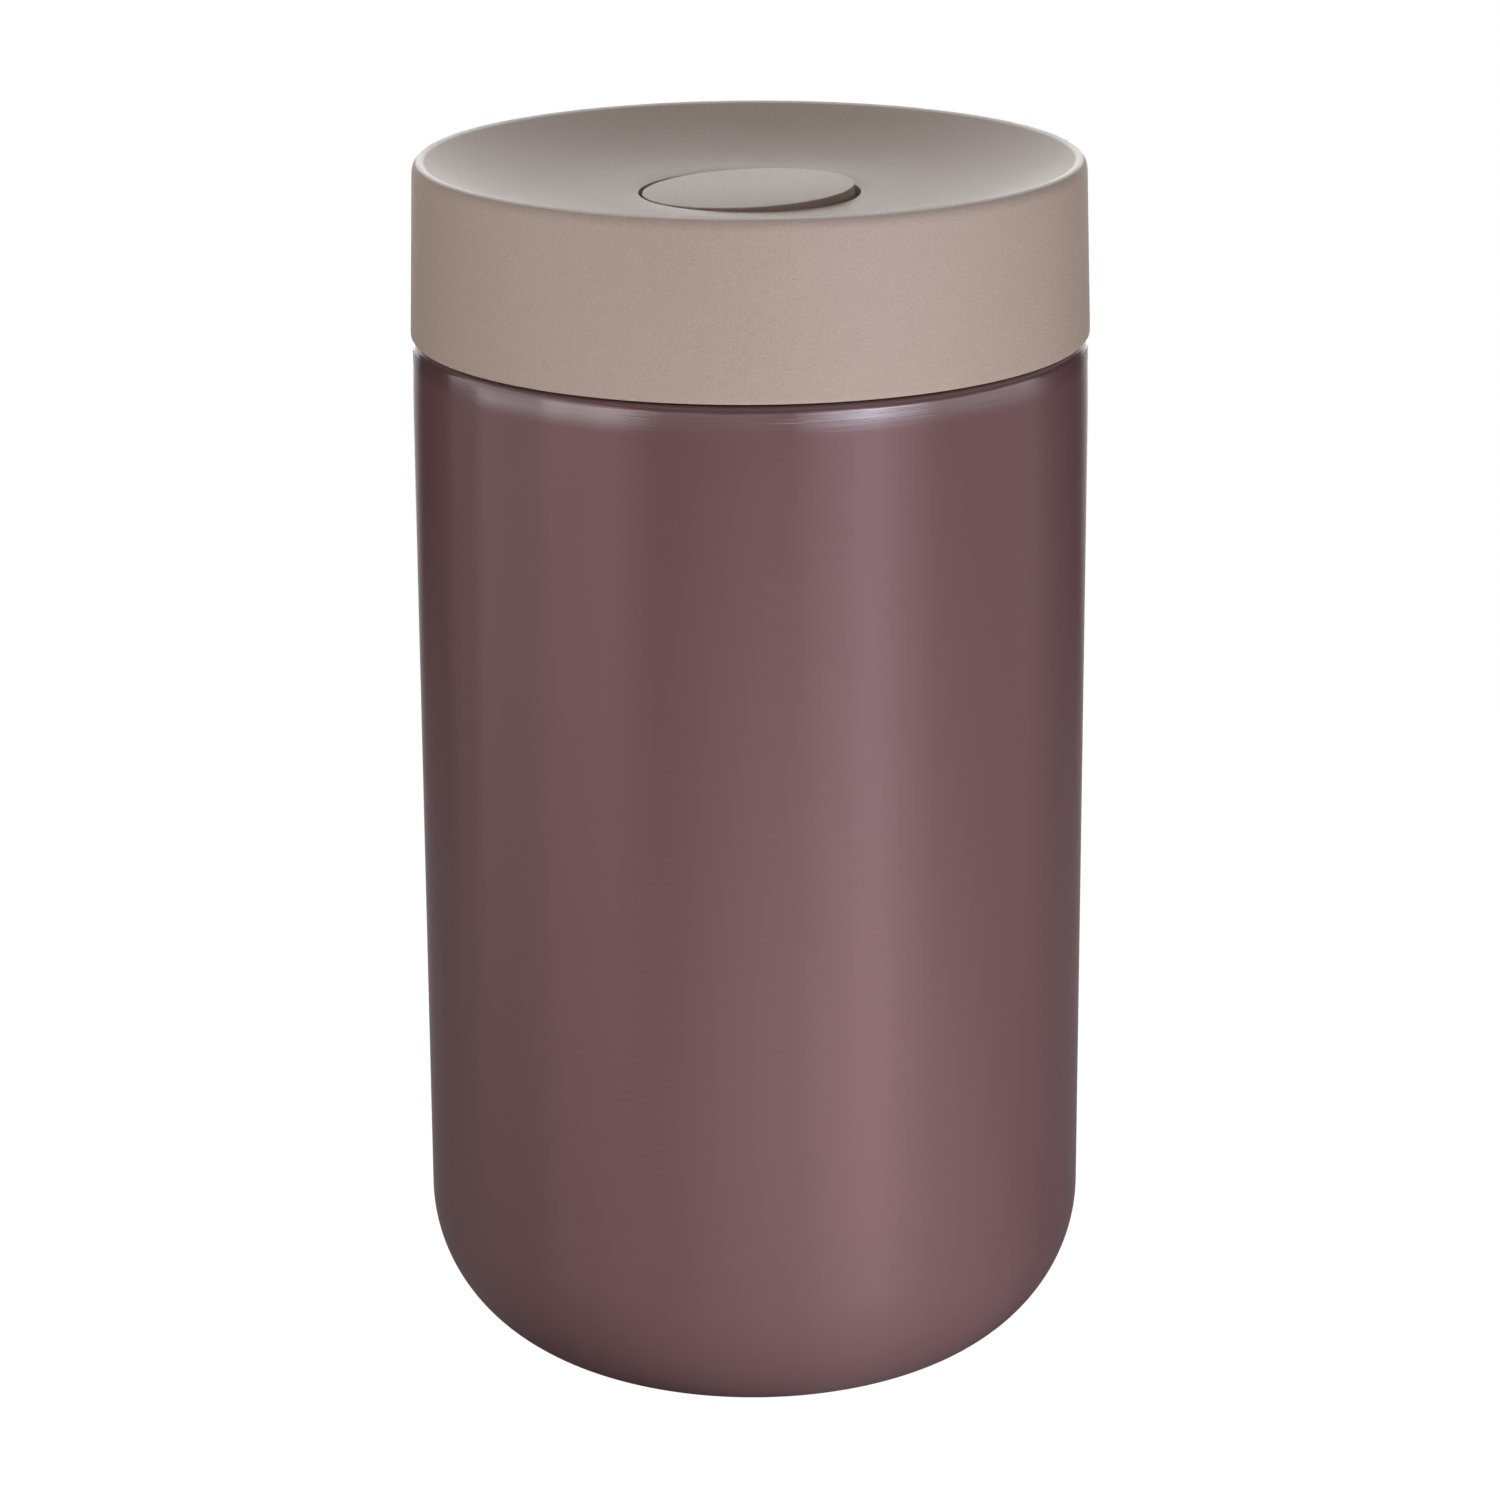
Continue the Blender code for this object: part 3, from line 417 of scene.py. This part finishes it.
# The getter is a dull pressed powder, the bead a glossy drop of dark glass, the tape a matt foam.
getter_alloy = speckled("sintered_getter_alloy", "#56565A", "#6E6E72", grain=0.2 * MM,
                        roughness=0.7, relief=0.03 * MM, Metallic=0.6)
seal_glass = speckled("fused_sealing_glass", "#3F4845", "#566460", grain=0.5 * MM, roughness=0.15,
                      relief=0.02 * MM)
tape = speckled("foam_mounting_tape", "#D5D2C8", "#E4E1D8", grain=0.3 * MM, roughness=0.85,
                relief=0.03 * MM)
for node_name, finish in (("heat_foil", copper), ("getter", getter_alloy),
                          ("getter_holder", bare_steel), ("vacuum_seal", seal_glass),
                          ("base_adhesive", tape)):
    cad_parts[node_name].material_slots[0].material = finish

# Base cover.
# Thin disc of stainless steel pressed with one ring and a rolled edge, and glued in the recess of the
# bottom, where it hides the sealed dimple.
cover_low, cover_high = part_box("base_cover")
cover_radius = cover_high[0]
cover_bottom = cover_low[2]
cover_top = cover_high[2]
cover_round = 0.3 * MM
ring_radius = 15.0 * MM
ring_depth = 0.25 * MM
ring_half_width = 0.9 * MM
ring_half_flat = 0.5 * MM
outline = [(0, cover_top), (cover_radius - cover_round, cover_top)]
outline += arc(cover_radius - cover_round, cover_bottom + cover_round, cover_round, 0, -90,
               pieces=5)
outline += [(ring_radius + ring_half_width, cover_bottom),
            (ring_radius + ring_half_flat, cover_bottom + ring_depth),
            (ring_radius - ring_half_flat, cover_bottom + ring_depth),
            (ring_radius - ring_half_width, cover_bottom), (0, cover_bottom)]
base_disc = spin_outline("base_disc", outline, closed=False)
wear(base_disc, bare_steel, "bare_steel", "vessel", "base_cover")

# Lid gasket.
# Moulded silicone ring that lies on the rolled lip, with a flap inside the mouth. It is held over a
# bead on the lid's plug and pulls off for washing.
fit_gap = 0.3 * MM              # welded, glued and snapped joints are drawn with this gap
gasket_low, gasket_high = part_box("lid_gasket")
gasket_radius = gasket_high[0]
gasket_top = gasket_high[2]
gasket_bottom = lip_top + fit_gap
gasket_round = 0.45 * MM
plug_radius = 37.4 * MM
gasket_bore = plug_radius + fit_gap
gasket_flap = 0.4 * MM
flap_root = 0.2 * MM
outline = [(gasket_bore, gasket_top)]
outline += arc(gasket_radius - gasket_round, gasket_top - gasket_round, gasket_round, 90, 0,
               pieces=5)
outline += arc(gasket_radius - gasket_round, gasket_bottom + gasket_round, gasket_round, 0, -90,
               pieces=5)
outline += [(gasket_bore + gasket_flap + flap_root, gasket_bottom),
            (gasket_bore + gasket_flap, gasket_bottom - flap_root)]
outline += arc(gasket_bore + gasket_flap / 2, gasket_low[2] + gasket_flap / 2, gasket_flap / 2,
               0, -180, pieces=6)
sealing_ring = spin_outline("sealing_ring", outline)

# Silicone from a polished mould: milky, with a soft sheen and light that sinks in a little.
silicone = speckled("moulded_silicone", "#D3CFC9", "#DDD9D3", grain=0.4 * MM, roughness=0.5,
                    relief=0.01 * MM, Subsurface_Weight=0.15, Subsurface_Scale=0.8 * MM)
wear(sealing_ring, silicone, "silicone", "gasket", "lid_gasket")

# Lid cap.
# Injection-moulded polypropylene: a skirt with a slight draft, a thin ridge, a dished top and a round
# well in its middle, where two posts carry the button's pin.
lid_radius = 47.5 * MM
lid_height = 24.6 * MM
lid_edge_height = 149.9 * MM
lid_draft = 0.63 * MM
lid_wall = 2.1 * MM
top_wall = 1.9 * MM
edge_round = 0.4 * MM
widest_rise = 1.0 * MM
side_top_radius = lid_radius - lid_draft
rim_width = 1.1 * MM
rim_height = 1.9 * MM
rim_steps = 18
ridge_radius = side_top_radius - rim_width
ridge_round = 0.22 * MM
dish_depth = 5.04 * MM
dish_flat = 20.0 * MM
hole_radius = 15.45 * MM
hole_height = lid_height - dish_depth
hole_round = 0.2 * MM
hole_round_middle = 0.06 * MM
well_radius = 14.2 * MM
well_depth = 7.6 * MM
well_floor = hole_height - well_depth
well_floor_wall = 1.4 * MM
well_wall = 1.8 * MM
stem_hole = 2.0 * MM
pin_x = -11.6 * MM
pin_depth = 4.0 * MM
pin_height = hole_height - pin_depth
button_thickness = 2.2 * MM
button_tilt = radians(2.5)
button_reach = 26.4 * MM        # from the pin to the button's free edge
press_reach = button_reach * sin(button_tilt)
ledge_height = hole_height - button_thickness - fit_gap - press_reach
liner_top = 17.5 * MM
rib_outer = 42.6 * MM
rib_inner = 41.0 * MM
inner_chamfer = 1.2 * MM
skirt_thickening = 3 * MM


def dish(radius):
    """Height of the dished top over the lid's lower edge."""
    share = max(0, radius - dish_flat) / (ridge_radius - dish_flat)
    return hole_height + dish_depth * share ** 2


def along_dish(first, last, drop, count):
    """Outline points along the dish."""
    radii = [first + (last - first) * i / count for i in range(count + 1)]
    return [(r, dish(r) - drop) for r in radii]


outline = [(hole_radius, hole_height - hole_round),
           (hole_radius + hole_round_middle, hole_height - hole_round_middle),
           (hole_radius + hole_round, hole_height)]
outline += along_dish(dish_flat, ridge_radius - ridge_round, drop=0, count=30)
for step in range(1, rim_steps + 1):
    lean = radians(90 - 90 / rim_steps * step)
    outline.append((ridge_radius + rim_width * cos(lean),
                    lid_height - rim_height * (1 - sin(lean))))
chamfer_radius = lid_radius - lid_wall - inner_chamfer
outline += [(lid_radius, widest_rise)]
outline += arc(lid_radius - edge_round, edge_round, edge_round, 0, -90, pieces=6)
outline += [(lid_radius - lid_wall, 0),
            (lid_radius - lid_wall, dish(lid_radius - lid_wall) - skirt_thickening),
            (chamfer_radius, dish(chamfer_radius) - top_wall),
            (rib_outer, dish(rib_outer) - top_wall), (rib_outer, liner_top + fit_gap),
            (rib_inner, liner_top + fit_gap)]
outline += along_dish(rib_inner, dish_flat, drop=top_wall, count=10)
outline += [(hole_radius + well_wall, hole_height - top_wall),
            (hole_radius + well_wall, well_floor - well_floor_wall),
            (stem_hole, well_floor - well_floor_wall), (stem_hole, well_floor),
            (well_radius, well_floor), (well_radius, ledge_height), (hole_radius, ledge_height)]
outline = [(r, z + lid_edge_height) for r, z in outline]
lid_shell = spin_outline("lid_shell", outline)

pin_bore_radius = 1.0 * MM
bore_sides = 32


def bore(piece, centre, depth):
    """Cut the hinge pin's hole through a piece, along Y."""
    bpy.ops.object.select_all(action="DESELECT")
    bpy.ops.mesh.primitive_cylinder_add(vertices=bore_sides, radius=pin_bore_radius, depth=depth,
                                        location=centre, rotation=(pi / 2, 0, 0))
    drill = bpy.context.object
    cut = piece.modifiers.new("Pin bore", "BOOLEAN")
    cut.operation = "DIFFERENCE"
    cut.solver = "EXACT"
    cut.object = drill
    bpy.context.view_layer.objects.active = piece
    bpy.ops.object.modifier_apply(modifier="Pin bore")
    bpy.data.objects.remove(drill)


post_width = 1.4 * MM
post_depth = 2.6 * MM
post_gap = 3.8 * MM
post_sink = 0.4 * MM
post_bevel = 0.15 * MM
post_y = post_gap + post_width / 2
post_top = lid_edge_height + pin_height + post_depth / 2
post_foot = lid_edge_height + well_floor - post_sink
posts = []
for side in (-1, 1):
    bpy.ops.object.select_all(action="DESELECT")
    bpy.ops.mesh.primitive_cube_add(size=1, location=(pin_x, side * post_y,
                                                      (post_top + post_foot) / 2))
    post = bpy.context.object
    post.scale = (post_depth, post_width, post_top - post_foot)
    bpy.ops.object.transform_apply(location=True, rotation=True, scale=True)
    bpy.ops.object.mode_set(mode="EDIT")
    bpy.ops.mesh.select_all(action="SELECT")
    bpy.ops.mesh.bevel(offset=post_bevel, segments=2)
    bpy.ops.object.mode_set(mode="OBJECT")
    bore(post, (pin_x, side * post_y, lid_edge_height + pin_height), 2 * post_width)
    posts.append(post)
for post in posts:
    post.select_set(True)
lid_shell.select_set(True)
bpy.context.view_layer.objects.active = lid_shell
bpy.ops.object.join()

# Polypropylene from a spark-eroded mould: matt, with pits near 0.1 mm across, drawn at 0.3 mm so that
# they show as a fine sparkle, and faint cloudy changes of tone. The ridge's crest is smoother than
# the rest, and its colour there is a painted highlight, paler than the plastic.
skin_grain = 0.3 * MM
skin_relief = 0.12 * MM
cloud_size = 25 * MM
skin_roughness = 0.5
rubbed_roughness = 0.42
# The top 0.3 mm of the ridge: its colour carries a painted highlight there, and its roughness is
# lower.
ridge_highlight_and_polish_start = lid_edge_height + lid_height - 0.30 * MM
ridge_highlight_and_polish_full = lid_edge_height + lid_height - 0.14 * MM
lid_plastic = new_material("matt_polypropylene", Roughness=skin_roughness,
                           Specular_IOR_Level=0.8, IOR=1.49)
skin_place = add_node(lid_plastic, "ShaderNodeTexCoord", {})
skin = add_node(lid_plastic, "ShaderNodeTexNoise",
                {"Scale": 1 / skin_grain, "Detail": 2.0, "Roughness": 0.6},
                (skin_place, "Object", "Vector"))
cloud = add_node(lid_plastic, "ShaderNodeTexNoise", {"Scale": 1 / cloud_size, "Detail": 2.0},
                 (skin_place, "Object", "Vector"))
lid_tone = add_node(lid_plastic, "ShaderNodeMix",
                    {"data_type": "RGBA", MIX_A: linear("#BCA596"), MIX_B: linear("#C2AB9C")},
                    (cloud, "Fac", 0))
skin_height = add_node(lid_plastic, "ShaderNodeSeparateXYZ", {}, (skin_place, "Object", 0))
# Mask of the ridge's crest, for its painted highlight and its lower roughness.
ridge_highlight_and_polish = add_node(lid_plastic, "ShaderNodeMapRange",
                  {"From Min": ridge_highlight_and_polish_start, "From Max": ridge_highlight_and_polish_full}, (skin_height, "Z", "Value"))
skin_shade = add_node(lid_plastic, "ShaderNodeMapRange",
                      {"From Min": 0.3, "From Max": 0.7, "To Min": 0.92, "To Max": 1.08},
                      (skin, "Fac", "Value"))
grained = add_node(lid_plastic, "ShaderNodeVectorMath", {"operation": "SCALE"},
                   (lid_tone, MIX_OUT, 0), (skin_shade, 0, "Scale"))
# Painted highlight: the crest's colour is lifted to a pale cream, a bright line along the lid's top.
ridge_painted_highlight = add_node(lid_plastic, "ShaderNodeMix", {"data_type": "RGBA", MIX_B: linear("#F0E7DC")},
                      (ridge_highlight_and_polish, 0, 0), (grained, 0, MIX_A))
wire(lid_plastic, ridge_painted_highlight, MIX_OUT, principled(lid_plastic), "Base Color")
ridge_gloss = add_node(lid_plastic, "ShaderNodeMapRange",
                       {"To Min": skin_roughness, "To Max": rubbed_roughness}, (ridge_highlight_and_polish, 0, "Value"))
wire(lid_plastic, ridge_gloss, 0, principled(lid_plastic), "Roughness")
skin_bump = add_node(lid_plastic, "ShaderNodeBump", {"Strength": 1.0, "Distance": skin_relief},
                     (skin, "Fac", "Height"))
wire(lid_plastic, skin_bump, 0, principled(lid_plastic), "Normal")
wear(lid_shell, lid_plastic, "taupe_plastic", "lid", "lid_cap")

# Lid liner.
# Inner moulding, snapped into the cap: a skirt with the thread, a plate over the gasket, and the plug
# that fills the mouth, with a bead for the gasket and a boss for the valve's stem.
liner_radius = 45.1 * MM
liner_bore = 43.3 * MM
liner_low = 1.0 * MM
liner_top_chamfer = 0.3 * MM
liner_outer_chamfer = 0.2 * MM
liner_inner_chamfer = 0.4 * MM
plate_thickness = 1.3 * MM
plate_under = liner_top - plate_thickness
plug_wall = 1.6 * MM
plug_bore = plug_radius - plug_wall
plug_floor = 1.4 * MM
boss_height = 6.2 * MM
plug_under = (hole_height - well_depth - well_floor_wall - fit_gap - boss_height - fit_gap
              - plug_floor)
plug_corner = 3.0 * MM
bead = 0.6 * MM
bead_round = 0.4 * MM
bead_top = gasket_low[2] - lid_edge_height - fit_gap
boss_radius = 4.0 * MM
boss_top = well_floor - well_floor_wall - fit_gap
stem_chamfer = 0.2 * MM
outline = [(plug_bore, liner_top), (liner_radius - liner_top_chamfer, liner_top),
           (liner_radius, liner_top - liner_top_chamfer),
           (liner_radius, liner_low + liner_outer_chamfer),
           (liner_radius - liner_outer_chamfer, liner_low),
           (liner_bore + liner_inner_chamfer, liner_low),
           (liner_bore, liner_low + liner_inner_chamfer), (liner_bore, plate_under),
           (plug_radius, plate_under), (plug_radius, bead_top)]
outline += [(r + bead - bead_round, z)
            for r, z in arc(plug_radius, bead_top - bead_round, bead_round, 90, -90, pieces=8)[1:-1]]
outline += [(plug_radius, bead_top - 2 * bead_round)]
outline += arc(plug_radius - plug_corner, plug_under + plug_corner, plug_corner, 0, -90, pieces=10)
outline += [(stem_hole + stem_chamfer, plug_under), (stem_hole, plug_under + stem_chamfer),
            (stem_hole, boss_top), (boss_radius, boss_top), (boss_radius, plug_under + plug_floor),
            (plug_bore, plug_under + plug_floor)]
outline = [(r, z + lid_edge_height) for r, z in outline]
liner_shell = spin_outline("liner_shell", outline)
liner_thread_low = liner_low + thread_margin
liner_thread_high = plate_under - thread_margin
neck_thread_start = neck_thread_low - lid_edge_height
flank = (thread_root - thread_crest) / 2 / thread_depth
bearing = thread_root - flank * (liner_bore - neck_radius) + fit_gap
liner_angle = 360 * (liner_thread_low - neck_thread_start + bearing) / thread_lead
liner_thread = helical_ridges("liner_thread", liner_bore, -1, lid_edge_height + liner_thread_low,
                              lid_edge_height + liner_thread_high, liner_angle)

# The same polypropylene from a polished mould: smoother and glossier than the cap.
liner_plastic = speckled("gloss_moulded_polypropylene", "#B3A59B", "#B8AAA0", grain=0.8 * MM,
                         roughness=0.38, relief=0.01 * MM, IOR=1.49)
wear(liner_shell, liner_plastic, "liner_plastic", "lid", "lid_liner")
wear(liner_thread, liner_plastic, "liner_plastic", "lid")

# Insulation in the plug.
# Closed-cell foam, pale and matt, shut in between cap and liner. It is out of sight and keeps its CAD
# shape.
foam_skin = speckled("closed_cell_foam", "#E2DCCD", "#EFEADD", grain=0.8 * MM, roughness=0.9,
                     relief=0.1 * MM)
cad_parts["lid_foam"].material_slots[0].material = foam_skin

# Vent button.
# Round plate moulded in the lid's plastic, with a crisp edge. It rocks on two lugs near its left edge
# and stands 2.5 degrees proud on the right; a pad under its middle pushes the valve's stem.
button_radius = 14.8 * MM
button_edge = 0.16 * MM
button_sides = 192
under_chamfer = 0.1 * MM
pin_drop = 1.8 * MM
plate_top = pin_drop + button_thickness
pad_radius = 2.6 * MM
pad_tip = 0.6                   # share of the pad's radius that is left at its tip
pad_height = 0.8 * MM
outline = [(0, plate_top)]
outline += arc(button_radius - button_edge, plate_top - button_edge, button_edge, 90, 0, pieces=4)
outline += [(button_radius, pin_drop + under_chamfer), (button_radius - under_chamfer, pin_drop),
            (pad_radius, pin_drop), (pad_radius * pad_tip, pin_drop - pad_height),
            (0, pin_drop - pad_height)]
button_plate = spin_outline("button_plate", outline, around=button_sides, closed=False)
button_plate.data.transform(Matrix.Translation((-pin_x, 0, 0)))
lug_radius = 1.4 * MM
lug_width = 1.3 * MM
lug_y = 2.85 * MM
lug_sink = 0.5 * MM
lug_middle = 0.01 * MM
lugs = []
for side in (-1, 1):
    bpy.ops.object.select_all(action="DESELECT")
    bpy.ops.mesh.primitive_cylinder_add(vertices=bore_sides, radius=lug_radius, depth=lug_width,
                                        location=(0, side * lug_y, 0), rotation=(pi / 2, 0, 0))
    lug = bpy.context.object
    bpy.ops.object.transform_apply(location=True, rotation=True, scale=True)
    for vert in lug.data.vertices:
        if vert.co.z > lug_middle:
            vert.co.z = pin_drop + lug_sink
    bore(lug, (0, side * lug_y, 0), 2 * lug_width)
    lugs.append(lug)
for lug in lugs:
    lug.select_set(True)
button_plate.select_set(True)
bpy.context.view_layer.objects.active = button_plate
bpy.ops.object.join()
pin_place = Matrix.Translation((pin_x, 0, lid_edge_height + pin_height))
button_plate.data.transform(pin_place @ Matrix.Rotation(-button_tilt, 4, "Y"))
wear(button_plate, lid_plastic, "taupe_plastic", "button", "vent_button")

# Hinge pin, stem, seal, clip and spring.
# The small works of the vent: a steel pin, a moulded stem, a silicone disc with its steel clip under
# the plug, and a coil spring of 0.42 mm wire that lifts the stem's head.
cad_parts["hinge_pin"].material_slots[0].material = bare_steel
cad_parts["valve_stem"].material_slots[0].material = liner_plastic
seal_low, seal_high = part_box("valve_seal")
seal_radius = seal_high[0]
seal_bore = 1.9 * MM
seal_round = 0.3 * MM
seal_top_cut = 0.2 * MM
seal_foot_radius = 3.2 * MM
seal_foot_cut = 0.2 * MM
seal_foot_rise = 0.03 * MM
seal_sides = 96
outline = [(seal_bore, seal_high[2]), (seal_radius - seal_top_cut, seal_high[2])]
outline += arc(seal_radius - seal_round, seal_high[2] - seal_round, seal_round, 60, -60, pieces=6)
outline += [(seal_foot_radius + seal_foot_cut, seal_low[2] + seal_foot_rise),
            (seal_foot_radius, seal_low[2]), (seal_bore, seal_low[2])]
vent_disc = spin_outline("vent_disc", outline, around=seal_sides)
wear(vent_disc, silicone, "silicone", "valve", "valve_seal")
clip_low, clip_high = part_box("stem_clip")
clip_radius = clip_high[0]
clip_cut = 0.1 * MM
clip_sides = 64
outline = [(seal_bore, clip_high[2]), (clip_radius - clip_cut, clip_high[2]),
           (clip_radius, clip_high[2] - clip_cut), (clip_radius, clip_low[2] + clip_cut),
           (clip_radius - clip_cut, clip_low[2]), (seal_bore, clip_low[2])]
push_clip = spin_outline("push_clip", outline, around=clip_sides)
wear(push_clip, bare_steel, "bare_steel", "valve", "stem_clip")
spring_low, spring_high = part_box("vent_spring")
spring_height = spring_high[2] - spring_low[2]
spring_wire = 0.42 * MM
spring_turns = 3.5
spring_steps = 168
spring_inset = 0.01 * MM        # keeps the coil inside its CAD box
spring_radius = spring_high[0] - spring_wire / 2 - 2 * spring_inset
spring_from = spring_low[2] + spring_wire / 2 + spring_inset
bpy.ops.object.select_all(action="DESELECT")
bpy.ops.mesh.primitive_circle_add(vertices=12, radius=spring_wire / 2, fill_type="NGON",
                                  location=(spring_radius, 0, spring_from), rotation=(pi / 2, 0, 0))
coil = bpy.context.object
coil.name = "coil"
bpy.ops.object.transform_apply(location=True, rotation=True, scale=True)
winding = coil.modifiers.new("Winding", "SCREW")
winding.axis = "Z"
winding.angle = 2 * pi * spring_turns
winding.screw_offset = spring_height - spring_wire - 2 * spring_inset
winding.steps = spring_steps
winding.render_steps = spring_steps
winding.use_merge_vertices = False
bpy.ops.object.modifier_apply(modifier="Winding")
bpy.ops.object.mode_set(mode="EDIT")
bpy.ops.mesh.select_all(action="SELECT")
bpy.ops.mesh.normals_make_consistent(inside=False)
bpy.ops.object.mode_set(mode="OBJECT")
bpy.ops.object.shade_smooth_by_angle(angle=radians(40))
wear(coil, bare_steel, "bare_steel", "lid", "vent_spring")
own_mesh(coil)

# Camera.
# It stands 0.68 m away, 10 degrees above the lid's rim, and looks a little down at the container, as
# the fit to the photograph gave.
camera_distance = 0.680
camera_rise = radians(10.079)
camera_pan = radians(-0.030)
camera_tilt = radians(-17.050)
camera_roll = radians(-0.30)
lens = 116.76
lid_top_height = lid_edge_height + lid_height
forward = Vector((sin(camera_pan) * cos(camera_tilt), cos(camera_pan) * cos(camera_tilt),
                  sin(camera_tilt)))
right = forward.cross(Vector((0, 0, 1))).normalized()
up = right.cross(forward)
rolled_right = cos(camera_roll) * right + sin(camera_roll) * up
rolled_up = cos(camera_roll) * up - sin(camera_roll) * right
camera_data = bpy.data.cameras.new("camera")
camera_data.lens = lens
camera_data.sensor_width = 36
camera_data.clip_start = 0.01
camera = bpy.data.objects.new("camera", camera_data)
bpy.context.scene.collection.objects.link(camera)
turned = Matrix((rolled_right, rolled_up, -forward)).transposed().to_4x4()
place = Vector((0, -camera_distance * cos(camera_rise),
                lid_top_height + camera_distance * sin(camera_rise)))
camera.matrix_world = Matrix.Translation(place) @ turned
bpy.context.scene.camera = camera

# Table.
# A round table top in white laminate, lit from below in front of the foot. The camera sees it as the
# white backdrop it runs into, with a little of its own grey, which keeps the container's shadow.
table_radius = 350 * MM
table_drop = 0.2 * MM           # keeps its face clear of the foot ring's
backdrop_share = 0.9
backdrop_strength = 1.12        # with the table's own grey this comes out just white
pool_strength = 2.1             # light that comes up through the table in front of the foot
pool_centre = (95 * MM, -225 * MM, 0)
pool_edge = 220 * MM
pool_core = 80 * MM
bpy.ops.object.select_all(action="DESELECT")
bpy.ops.mesh.primitive_circle_add(vertices=96, radius=table_radius, fill_type="NGON",
                                  location=(0, 0, -table_drop))
floor = bpy.context.object
floor.name = "floor"
bpy.ops.object.transform_apply(location=True, rotation=True, scale=True)
laminate = new_material("white_table_laminate", Roughness=0.9, Base_Color=linear("#B4B4B4"),
                        Emission_Color=(1, 1, 1, 1))
table_place = add_node(laminate, "ShaderNodeTexCoord", {})
table_reach = add_node(laminate, "ShaderNodeVectorMath", {"operation": "DISTANCE", 1: pool_centre},
                       (table_place, "Object", 0))
table_pool = add_node(laminate, "ShaderNodeMapRange",
                      {"From Min": pool_edge, "From Max": pool_core, "To Max": pool_strength},
                      (table_reach, "Value", "Value"))
wire(laminate, table_pool, 0, principled(laminate), "Emission Strength")
table_rays = add_node(laminate, "ShaderNodeLightPath", {})
table_glow = add_node(laminate, "ShaderNodeEmission",
                      {"Color": (1, 1, 1, 1), "Strength": backdrop_strength})
table_direct = add_node(laminate, "ShaderNodeMath", {"operation": "MAXIMUM"},
                        (table_rays, "Is Camera Ray", 0), (table_rays, "Is Transmission Ray", 1))
table_share = add_node(laminate, "ShaderNodeMath", {"operation": "MULTIPLY", 1: backdrop_share},
                       (table_direct, 0, 0))
table_mix = add_node(laminate, "ShaderNodeMixShader", {}, (table_share, 0, 0),
                     (principled(laminate), 0, 1), (table_glow, 0, 2))
wire(laminate, table_mix, 0, laminate.node_tree.nodes["Material Output"], "Surface")
floor.data.materials.append(laminate)

# Lamps.
# Softboxes on a ring round the container: low ones at both sides, nested so that their reflections
# fade out sideways, more of them beside, below and behind, and a soft light over the lid.
lamp_distance = 0.8
top_size = 0.8
top_height = 1.1


def softbox(name, azimuth, low, high, width, radiance, colour="#FFFFFF"):
    """An upright lamp that faces the axis; azimuth 0 is the camera's side, positive to the right."""
    light = bpy.data.lights.new(name, "AREA")
    light.shape = "RECTANGLE"
    light.size = width
    light.size_y = high - low
    light.energy = radiance * pi * width * (high - low)
    light.color = linear(colour)[:3]
    lamp = bpy.data.objects.new(name, light)
    bpy.context.scene.collection.objects.link(lamp)
    lamp.location = (sin(azimuth) * lamp_distance, -cos(azimuth) * lamp_distance, (low + high) / 2)
    lamp.rotation_euler = (pi / 2, 0, azimuth)
    lamp.visible_camera = False
    return lamp


softbox("key_softbox", radians(37), 0.0, 0.35, 0.62, 2.05, "#ECF2FF")
softbox("key_middle", radians(38), 0.0, 0.35, 0.42, 1.4, "#E8EFFF")
softbox("key_centre", radians(39), 0.0, 0.35, 0.18, 2.45, "#E4ECFF")
softbox("key_edge", radians(81), 0.0, 0.35, 0.85, 0.9)
softbox("front_fill", radians(-14), 0.0, 0.35, 0.7, 0.45)
softbox("fill_centre", radians(-52), 0.0, 0.35, 0.56, 1.15)
softbox("fill_middle", radians(-46), 0.0, 0.35, 0.26, 0.8)
softbox("fill_softbox", radians(-88), 0.0, 0.35, 0.93, 0.7)
softbox("fill_upper", radians(-82), 0.35, 0.8, 1.2, 0.7)
softbox("fill_low", radians(-73), -0.5, 0.0, 0.94, 1.35)
softbox("edge_low", radians(90), -0.5, 0.0, 0.94, 0.35)
softbox("back_centre", radians(180), 0.0, 0.5, 0.6, 3.4)
softbox("back_softbox", radians(180), 0.0, 1.1, 1.0, 0.6)
top_lamp = softbox("top_softbox", 0, -top_size / 2, top_size / 2, top_size, 1.1)
top_lamp.location = (0, 0, top_height)
top_lamp.rotation_euler = (0, 0, 0)

# Backdrop.
# White to the camera and through glass. Metal shows it too, at a quarter of that strength and only
# where it stands, behind the container.
backdrop_in_metal = 0.25
backdrop_start = 0.88           # how squarely a ray has to point backwards to meet it
backdrop_full = 0.93
world = bpy.data.worlds.new("studio")
bpy.context.scene.world = world
world.use_nodes = True
rays = add_node(world, "ShaderNodeLightPath", {})
direction = add_node(world, "ShaderNodeTexCoord", {})
parts = add_node(world, "ShaderNodeSeparateXYZ", {}, (direction, "Generated", 0))
behind = add_node(world, "ShaderNodeMapRange",
                  {"From Min": backdrop_start, "From Max": backdrop_full,
                   "To Max": backdrop_in_metal}, (parts, "Y", "Value"))
in_metal = add_node(world, "ShaderNodeMath", {"operation": "MULTIPLY"},
                    (rays, "Is Glossy Ray", 0), (behind, 0, 1))
direct = add_node(world, "ShaderNodeMath", {"operation": "MAXIMUM"},
                  (rays, "Is Camera Ray", 0), (rays, "Is Transmission Ray", 1))
shown = add_node(world, "ShaderNodeMath", {"operation": "MAXIMUM"}, (direct, 0, 0), (in_metal, 0, 1))
backdrop = world.node_tree.nodes["Background"]
backdrop.inputs["Color"].default_value = (1, 1, 1, 1)
wire(world, shown, 0, backdrop, "Strength")

bpy.context.scene.view_settings.view_transform = "Standard"
